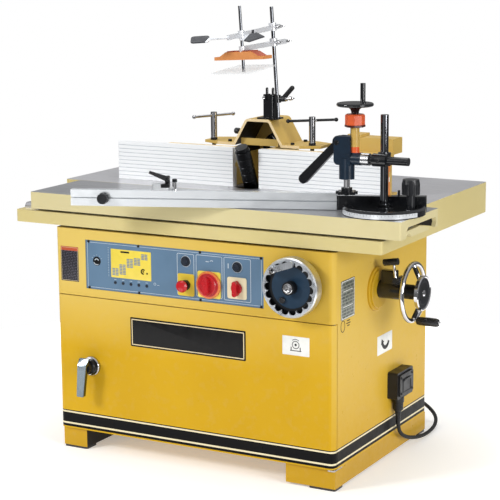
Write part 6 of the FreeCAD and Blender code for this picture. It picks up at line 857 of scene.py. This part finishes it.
def panel_print():
    """Speed chart of plain cells, with ticks, keys and lines on the control panel."""
    on_panel = partial(piece, FACING_FRONT, at(0, PANEL_FACE, 0))
    on_panel("panel_chart", "machine", "panel_grey", label_yellow, (plate(156, 96, 0.5, 2, 0.15), moved(-220.5, 664)))
    cells = [(plate(11, 3.6, 0.9, 0.5, 0.1), moved(-288 + group * 28.5 + column * 13, 625 + row * 5.1))
             for group, (first, count) in enumerate(CHART_STEPS)
             for row in range(first, first + count) for column in range(2)]
    on_panel("chart_cells", "machine", "panel_grey", cell_grey, *cells)
    marks = [(plate(3.4, 1.1, 0.4), moved(-308.5, 619 + row * 5.6)) for row in range(18)]
    marks += [(plate(9, 1.5, 0.4, 0.4), moved(key, 609)) for key in KEY_PLACES]
    for turn in (0.5, 1.0, 1.57, 2.1, 2.6):
        x, z = SPEED_DIAL
        marks.append((disc(1.1, 0.4, 0.1), moved(x + 21 * math.cos(turn), z + 21 * math.sin(turn))))
    on_panel("panel_lines", "machine", "panel_grey", line_white, *marks,
             (arc_strip(6.2, 9, 0.9, 140), moved(*SPEED_DIAL, 0, 20)),
             (arc_strip(11, 13.2, 0.9, 100), moved(*SPEED_DIAL, 0, 200)),
             (border(9, 9, 1.1, 0.4, 4.4), moved(-129, 608)),
             (plate(8, 1.4, 0.4, 0.4), moved(-116, 605)),
             (border(660, 153, 1.3, 0.4, 5), moved(-62.25, 651)),
             (border(64, 138, 1.7, 0.4, 5), moved(-11, 651)),
             (border(97, 137, 1.7, 0.4, 5), moved(76.5, 652.5)),
             (border(98, 140, 1.7, 0.4, 5), moved(180, 652)),
             (plate(3.4, 16, 0.4, 1), moved(147, 694)),
             (plate(11, 2.6, 0.4, 0.8), moved(70, 701)),
             (arc_strip(5.5, 7.5, 0.4, 110), moved(86, 699, 0, 40)))
    on_panel("panel_marks", "machine", "black_plastic", label_black,
             (disc(15.5, 0.5), moved(*SPEED_DIAL)), (plate(34, 5.5, 0.9, 0.8, 0.1), moved(-243, 704)),
             (arc_strip(5, 9.5, 0.9, 250), moved(*CHART_ARC, 0, 40)), (disc(3, 0.9), moved(*CHART_ARC)),
             (disc(3.2, 0.9), moved(-158, 640)))
    keys = [(turned([(5.2, 0), (5.2, 1.4), (4.6, 1.9), (4.0, 1.6), (0, 2.2)], 24), moved(key, 598.5))
            for key in KEY_PLACES]
    on_panel("panel_keys", "machine", "black_plastic", dark_button, *keys)
    screws = [(cap_screw(4.4, 2.6), moved(x, z)) for z in (729, 573) for x in (-386, -190, 44, 266)]
    on_panel("panel_screws", "machine", "black_paint", black_plastic, *screws)
    on_panel("mains_plate", "machine", "panel_grey", label_yellow, (plate(85, 87, 2.5, 7, 0.5), moved(*MAINS_MIDDLE)))
    skirt = turned([(32.6, 4), (44.6, 4), (45.2, 4.8), (44.8, 8), (43, 10), (38.8, 10.4), (37.8, 11.8), (34, 12.4),
                    (32.6, 12.4)])
    on_panel("mains_knob_skirt", "mains_knob", "red_plastic", skirt_red, (skirt, moved(*MAINS_MIDDLE)))
    bezels = [(turned([(16.8, 0), (18.6, 0), (18.6, 1.0), (17.6, 1.7), (16.8, 1.2)]), moved(x, z))
              for x, z in ((-10, 695), (180, 693))]
    on_panel("button_bezels", "machine", "panel_grey", line_white, *bezels)


# Door, fascia and right side

DOOR_PLATE = (-8.5, 439)
DOOR_CARD_RING = (388, 464, 0.6)
FASCIA_CARD = (-463.5, 646)
RATING_PLATE = (-343, 606.5)


def front_plates():
    """Plates on the door and the fascia."""
    on_front = partial(piece, FACING_FRONT, at(0, FASCIA_FACE, 0))
    on_front("door_plate", "door", "black_plastic", label_black, (plate(435, 98, 1.2, 3, 0.3), moved(*DOOR_PLATE)))
    on_front("door_plate_line", "door", "cabinet_paint", label_cream,
             (border(425, 88, 3.0, 0.5, 2), moved(*DOOR_PLATE, 1.2)))
    on_front("door_card", "door", "cabinet_paint", label_white, (plate(95, 61, 0.6, 2, 0.15), moved(388.5, 460.5)))
    on_front("door_card_drawing", "door", "cabinet_paint", label_grey,
             (border(26, 26, 2.2, 0.25, 12.8), moved(*DOOR_CARD_RING)),
             (plate(40, 2.6, 0.25, 0.6), moved(388, 445, 0.6)),
             (plate(3, 12, 0.25, 0.6), moved(372, 451, 0.6)), (plate(3, 12, 0.25, 0.6), moved(404, 451, 0.6)),
             (disc(4, 0.25, 0.1), moved(*DOOR_CARD_RING)), (arc_strip(17, 19, 0.25, 80), moved(*DOOR_CARD_RING, 50)))
    on_front("fascia_card", "machine", "black_plastic", card_print,
             (plate(71, 118, 0.6, 2, 0.15), moved(*FASCIA_CARD)))
    on_front("fascia_card_line", "machine", "cabinet_paint", label_cream,
             (border(66, 113, 0.9, 0.25, 1.5), moved(*FASCIA_CARD, 0.6)))


def side_plates():
    """Worn plate, ring mark and arrow plate on the right side."""
    on_side = partial(piece, FACING_RIGHT, at(SIDE_FACE, 0, 0))
    middle, height = RATING_PLATE
    on_side("rating_plate", "machine", "black_plastic", plate_print,
            (plate(98, 125, 0.8, 3, 0.2), moved(*RATING_PLATE)))
    on_side("rating_plate_line", "machine", "wheel_alu", label_white,
            (border(93, 120, 2.2, 0.25, 2), moved(*RATING_PLATE, 0.8)),
            *[(plate(70, 2, 0.25), moved(middle, line, 0.8)) for line in (634, 584)])
    rivets = [(rivet(2.6), moved(middle + x * 42, height + z * 55, 1.0)) for x in (-1, 1) for z in (-1, 1)]
    on_side("rating_plate_rivets", "machine", "steel", turned_steel, *rivets)
    on_side("side_ring_mark", "machine", "black_plastic", label_black,
            (border(30, 38, 2.6, 0.4, 14.8), moved(-378, 524)),
            *[(plate(width, 3, 0.4, 1), moved(-338, line)) for width, line in ((24, 536), (30, 528), (18, 520))])
    on_side("arrow_card", "machine", "cabinet_paint", label_white, (plate(118, 64, 0.6, 2, 0.15), moved(-58, 399.5)))
    arrow = gathered(arc_strip(20, 33, 0.4, 140), slab(((14, 0), (39, 0), (27, -17)), 0.4))
    on_side("arrow_card_arrow", "machine", "black_plastic", label_black, (arrow, moved(-52, 411, 0.6, 200)))


LEVER_FOLD = 12
LEVER_SLOPE = 0.53
LEVER_TWIST = 0.005


def door_handle():
    """Wing handle on its round rose, with the spindle and the latch bar behind the door."""
    on_door = partial(piece, FACING_FRONT, at(*HANDLE))
    lever = slab(((-27, -97), (0, -97), (18, 36), (-19, 36)), 14, 4, 1.5)
    bmesh.ops.bisect_plane(lever, geom=lever.verts[:] + lever.edges[:] + lever.faces[:],
                           plane_co=(0, LEVER_FOLD, 0), plane_no=(0, 1, 0))
    for point in lever.verts:
        if point.co.z > 7 and point.co.y > LEVER_FOLD:
            point.co.z -= (LEVER_SLOPE + LEVER_TWIST * point.co.x) * (point.co.y - LEVER_FOLD)
    wing = on_door("door_handle_lever", "door_handle", "chrome", latch_metal, (lever, moved(0, 0, 46)),
                   (turned([(8, 0), (8, 74), (0, 74)], 32), moved(0, 0, -28)),
                   (plate(108, 24, 4, 2, 0.6), moved(-42, 0, -28)), smooth=20)
    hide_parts("door_handle")
    rose = turned([(9, 0.3), (33, 0.3), (33, 9), (30.5, 12), (26, 12), (25, 10.5), (25, 23), (23, 26), (19, 27),
                   (19, 46), (9, 46)], 64)
    on_door("door_handle_rose", "door_handle", "chrome", rose_chrome, rose)


# Handwheels and power fittings

def lift_wheel_fittings():
    """Nut on the hub, boss on the disc and the screw of the folding handle."""
    grip = at(343, 0, 712)
    grip.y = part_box("lift_handle")[0].y
    on_grip = partial(piece, FACING_FRONT, grip)
    ring = turned([(10, -1), (10, 1.8), (8.6, 3), (5.4, 3), (4.6, 2.4), (4.6, -1)], 40)
    on_grip("lift_handle_ring", "lift_handle", "chrome", chrome, ring)
    on_grip("lift_handle_eye", "lift_handle", "black_plastic", label_black, disc(4.2, 0.5))
    piece(FACING_FRONT, at(395, -506.5, 657), "lift_hub_nut", "lift_wheel", "chrome", chrome,
          turned([(16, 0), (16, 1.6), (14.5, 2.6), (9, 2.6)], 40), (hex_nut(19, 7.5, 5.6), moved(0, 0, 2)),
          turned([(5.8, 2), (5.8, 10.5), (4.6, 11.6), (0, 11.6)], 24))
    boss = turned([(10, 0), (10, 5.5), (8.6, 7.5), (5.4, 7.5), (4.8, 6.2), (0, 6.2)], 36)
    piece(FACING_FRONT, at(367, -487.5, 615), "lift_disc_boss", "lift_wheel", "black_plastic", black_plastic, boss)


def tilt_wheel_fittings():
    """Plain division marks and cap on the dial, and the sleeve and rivet of the crank grip."""
    on_dial = partial(piece, FACING_RIGHT, at(685.9, -126, 597))
    marks = [turned([(36.2, 0), (37.2, 0), (37.2, 0.5), (36.2, 0.5)], 64)]
    for step in range(36):
        turn = step * 10
        reach, length = (44.2, 5) if step % 3 else (43.0, 7.5)
        marks.append((plate(1.1, length, 0.5), about("Z", turn) @ moved(reach, 0, 0, -90)))
    on_dial("tilt_dial_marks", "tilt_wheel", "panel_grey", mark_grey, *marks)
    cap = turned([(10, 0), (10, 1.6), (8.4, 3), (4, 3.9), (0, 4.1)], 36)
    on_dial("tilt_dial_cap", "tilt_wheel", "chrome", chrome, cap)
    grip = turned([(8, 0), (12.4, 1.5), (13.5, 8), (14.1, 38), (13.7, 66), (12.2, 73), (9, 75.4), (6.6, 75.6)])
    piece(FACING_RIGHT, at(664.5, -126, 505), "crank_grip_sleeve", "crank_grip", "black_plastic", sleeve_black, grip)
    piece(FACING_RIGHT, at(741, -126, 505), "crank_pin_rivet", "tilt_wheel", "chrome", chrome, rivet(6.2))


def socket_fittings():
    """Lid screws and finger rib on the socket box, screws round the vents behind."""
    screws = [(cap_screw(4.2, 2.4), moved(y, z)) for y in (-13, 75) for z in (219, 273)]
    piece(FACING_RIGHT, at(564, 0, 0), "socket_lid_screws", "machine", "black_plastic", black_plastic, *screws,
          (plate(58, 8, 4, 3, 1.2), moved(31, 262)), (border(64, 44, 2.5, 1.4, 5), moved(31, 240)))
    vents = [(cap_screw(4.4, 3), moved(x, z)) for x in (140, 360) for z in (212, 448)]
    piece(FACING_BACK, at(0, BACK_FACE, 0), "vent_screws", "machine", "black_paint", black_steel, *vents)


# Mitre gauge, clamp, fence and guard details

def mitre_scale():
    """Bright scale band round the front of the mitre base, with its ticks."""
    on_base = partial(piece, about("Z", MITRE_TURN + 195), at(*MITRE_AXIS))
    band = turned([(128.1, 3), (129.0, 3), (129.0, 16.5), (128.1, 16.5)], 60, 130)
    on_base("mitre_scale_band", "mitre_gauge", "steel", scale_white, band)
    ticks = []
    for step in range(25):
        length, rise = (7.5, 12) if step % 5 == 4 else (4.5, 13.5)
        stand = about("Z", 5 + step * 5) @ moved(128.9, 0, rise)
        ticks.append((plate(0.8, length, 0.35), stand @ FACING_RIGHT))
    on_base("mitre_scale_ticks", "mitre_gauge", "black_plastic", label_black, *ticks)


def stop_stud():
    """Plated stud with a black cap beside the flip stop."""
    stud = turned([(8.5, 0), (8.5, 3), (7, 4), (7, 25), (8, 26), (8, 33), (6.5, 35), (0, 35)], 40)
    place = at(-13.5, -493.5, 0)
    place.z = MITRE_BAR_TOP + 0.0003
    piece(FACING_UP, place, "stop_stud", "stop_carrier", "chrome", stud_chrome, stud)


def clamp_fittings():
    """Screws of the clamp lever and the cross clamp, cover of the cap, neck and rim of the wheel."""
    piece(FACING_FRONT, at(492, -367, 1098), "clamp_lever_screw", "clamp_head", "black_paint", gloss_black,
          cap_screw(8, 3.5))
    on_clamp = partial(piece, FACING_UP, at(*CLAMP_AXIS))
    cover = turned([(29.4, 0.5), (32.0, 1.5), (32.0, 7), (30.6, 8), (30.6, 36), (28.4, 39), (13.5, 39)], 8)
    on_clamp("clamp_cap_cover", "clamp_head", "orange_plastic", cap_orange, (cover, moved(0, 0, 1146, 22.5)))
    neck = turned([(9.8, 1186.4), (11.6, 1187.4), (12.2, 1194), (15, 1200.4), (21, 1205.4), (31, 1209), (9.8, 1209)])
    turns = [math.radians(step * 30) for step in range(13)]
    rim = turned([(51.4 + 5.7 * math.cos(turn), 1215 + 5.7 * math.sin(turn)) for turn in turns], 64)
    on_clamp("clamp_wheel_neck", "clamp_wheel", "black_paint", gloss_black, neck, rim)
    piece(FACING_FRONT, at(630, -366.5, 1049), "cross_clamp_screw", "cross_clamp", "black_paint", gloss_black,
          cap_screw(6, 4))


def hood_fasteners():
    """Bolts on the hood's feet, petals in its outlet, its knob, and the orange strip on the right plate's end."""
    bolts = [(cap_screw(7, 7), moved(x, y)) for x in (-120, 124) for y in (52, 150)]
    piece(FACING_UP, at(0, 0, 1022.6), "hood_bolts", "fence", "steel", black_steel, *bolts)
    petals = [(arc_strip(4, 55.5, 2, 43), about("Z", step * 45)) for step in range(8)]
    piece(FACING_FRONT, at(2, 204, 990), "outlet_petals", "fence", "rubber", rubber, *petals)
    knob = turned([(5, 0), (5, 8), (9, 8.6), (10.5, 12), (10.5, 23), (8.5, 26.5), (0, 27.5)], 36)
    piece(FACING_LEFT, at(-66, 40, 1062), "hood_knob", "fence", "black_plastic", black_plastic, knob)
    strip = [(plate(25, 50, 3, 1.5, 0.6), moved(-29.3, rise)) for rise in (905.6, 988)]
    piece(FACING_RIGHT, at(515, 0, 0), "fence_end_strip", "right_plate", "orange_plastic", orange_strip, *strip,
          (plate(14.5, 33, 3, 0, 0.6), moved(-34.5, 946.8)))


def guard_fittings():
    """Pins and bolt of the guard holder, the shoe's ridges, and the thumb screws of the arm clamps."""
    pins = [(turned([(4.6, 0), (4.6, 19), (3.6, 22), (1.6, 23.4), (0, 23.6)], 24), moved(x, 60))
            for x in (22.5, 45.5)]
    piece(FACING_UP, at(0, 0, HOOD_ROOF + 83.5), "holder_pins", "fence", "black_paint", gloss_black, *pins)
    piece(FACING_FRONT, at(20.5, 43, 1180), "holder_bolt", "fence", "chrome", chrome, cap_screw(5.4, 5))
    on_guard = partial(piece, about("Y", -GUARD_LEAN), at(*GUARD_FOOT))
    on_guard("holder_thumb_screw", "holder_lever", "chrome", chrome,
             (thumb_screw(30, 15), moved(31, 0, 69) @ FACING_RIGHT))
    ridges = [(plate(5, 40, 3, 1.5, 1), moved(-55.8, -119.6, 240, -12) @ moved(side * x, 0))
              for side, steps in ((-1, (51, 40, 29, 18)), (1, (18, 29, 40, 51))) for x in steps]
    on_guard("shoe_ridges", "shoe_rod", "orange_plastic", ridge_red, *ridges)
    screws = []
    for rise, tail in ((313, 25), (261, 50)):
        for length, angle, out in ((27, 335, 11.5), (20, 65, tail)):
            screws.append((thumb_screw(length, 12), moved(0, 0, rise) @ heading(angle) @ moved(0, 0, out)))
    on_guard("arm_thumb_screws", "guard_arms", "chrome", chrome, *screws)


def ring_screws():
    """Countersunk screws in the table ring."""
    turns = [math.radians(45 + 90 * step) for step in range(4)]
    screws = [(cap_screw(4.2, 0.2), moved(82 * math.cos(turn), 82 * math.sin(turn))) for turn in turns]
    piece(FACING_UP, at(0, PIVOT_BACK, TABLE_TOP), "ring_screws", "machine", "steel", black_steel, *screws)


# Studio

FLOOR_REACH = 2.0


def studio_floor():
    """A pale floor that brightens away from the machine."""
    floor = bmesh.new()
    bmesh.ops.create_circle(floor, cap_ends=True, segments=96, radius=FLOOR_REACH)
    mesh = bpy.data.meshes.new("floor")
    floor.to_mesh(mesh)
    floor.free()
    pale = finish("pale_floor", (0.86, 0.86, 0.855), 0, 0.75, 0.2, Emission_Color=(1, 1, 1, 1))
    across, back, _ = place_on(pale)
    shader = pale.node_tree.nodes["Principled BSDF"]
    glow = ranged(reach_from(across, 0, back, 0), 0.30, 1.1, 0.8, FLOOR_REACH - 0.15)
    pale.node_tree.links.new(glow, shader.inputs["Emission Strength"])
    pale.node_tree.links.new(ranged(speckle(pale, 1.2, 3), 0.66, 0.82), shader.inputs["Roughness"])
    mesh.materials.append(pale)
    in_scene("floor", mesh)


def studio_air():
    """White behind the machine, and a dimmer room round it with a bright card in front."""
    world = bpy.data.worlds.new("studio")
    world.use_nodes = True
    tree = world.node_tree
    air = tree.nodes["Background"]
    air.inputs["Color"].default_value = (1, 1, 1, 1)
    across, back, up = axes_of(node(tree, "ShaderNodeTexCoord", {}).outputs["Generated"])
    card = both(ranged(joined_by("ABSOLUTE", across, 0), 0, 1, 0.21, 0.11), ranged(back, 0, 1, -0.85, -0.93))
    room = plus(ranged(up, 0.16, 0.62, 0.05, 0.75), card)
    rays = node(tree, "ShaderNodeLightPath", {})
    seen = node(tree, "ShaderNodeMix", {0: rays.outputs["Is Camera Ray"], 2: room, 3: 1.0})
    tree.links.new(seen.outputs[0], air.inputs["Strength"])
    bpy.context.scene.world = world


LAMPS = [
    ("key_light", (-2.9, -4.3, 3.3), 1.2, 165),
    ("side_light", (4.8, -1.8, 1.6), 2.0, 150),
    ("top_light", (-0.4, 1.0, 4.4), 3.0, 75),
]
LAMP_AIM = Vector((0, 0, 0.7))


def studio_lamps():
    """Soft lamps in front on the left, on the right and above."""
    for name, place, size, power in LAMPS:
        light = bpy.data.lights.new(name, "AREA")
        light.shape = "SQUARE"
        light.size = size
        light.energy = power
        lamp = in_scene(name, light)
        lamp.location = place
        lamp.rotation_euler = (LAMP_AIM - Vector(place)).to_track_quat("-Z", "Y").to_euler()
    bpy.context.scene.view_settings.view_transform = "Standard"


CAMERA_PLACE = (2634.57, -4803.94, 1716.27)
CAMERA_YAW = 28.885
CAMERA_PITCH = -10.944
CAMERA_ROLL = -0.45
CAMERA_FOCUS = 1615.97
IMAGE_WIDTH = 500


def photograph_camera():
    """The camera that saw the machine."""
    lens = bpy.data.cameras.new("camera")
    lens.sensor_width = 36
    lens.lens = CAMERA_FOCUS / IMAGE_WIDTH * lens.sensor_width
    camera = in_scene("camera", lens)
    view = about("Z", CAMERA_YAW) @ about("X", 90 + CAMERA_PITCH) @ about("Z", CAMERA_ROLL)
    camera.matrix_world = Matrix.Translation(at(*CAMERA_PLACE)) @ view
    bpy.context.scene.camera = camera


photograph_camera()
mains_lead()
panel_print()
front_plates()
side_plates()
door_handle()
lift_wheel_fittings()
tilt_wheel_fittings()
socket_fittings()
mitre_scale()
stop_stud()
clamp_fittings()
hood_fasteners()
guard_fittings()
ring_screws()
studio_floor()
studio_air()
studio_lamps()
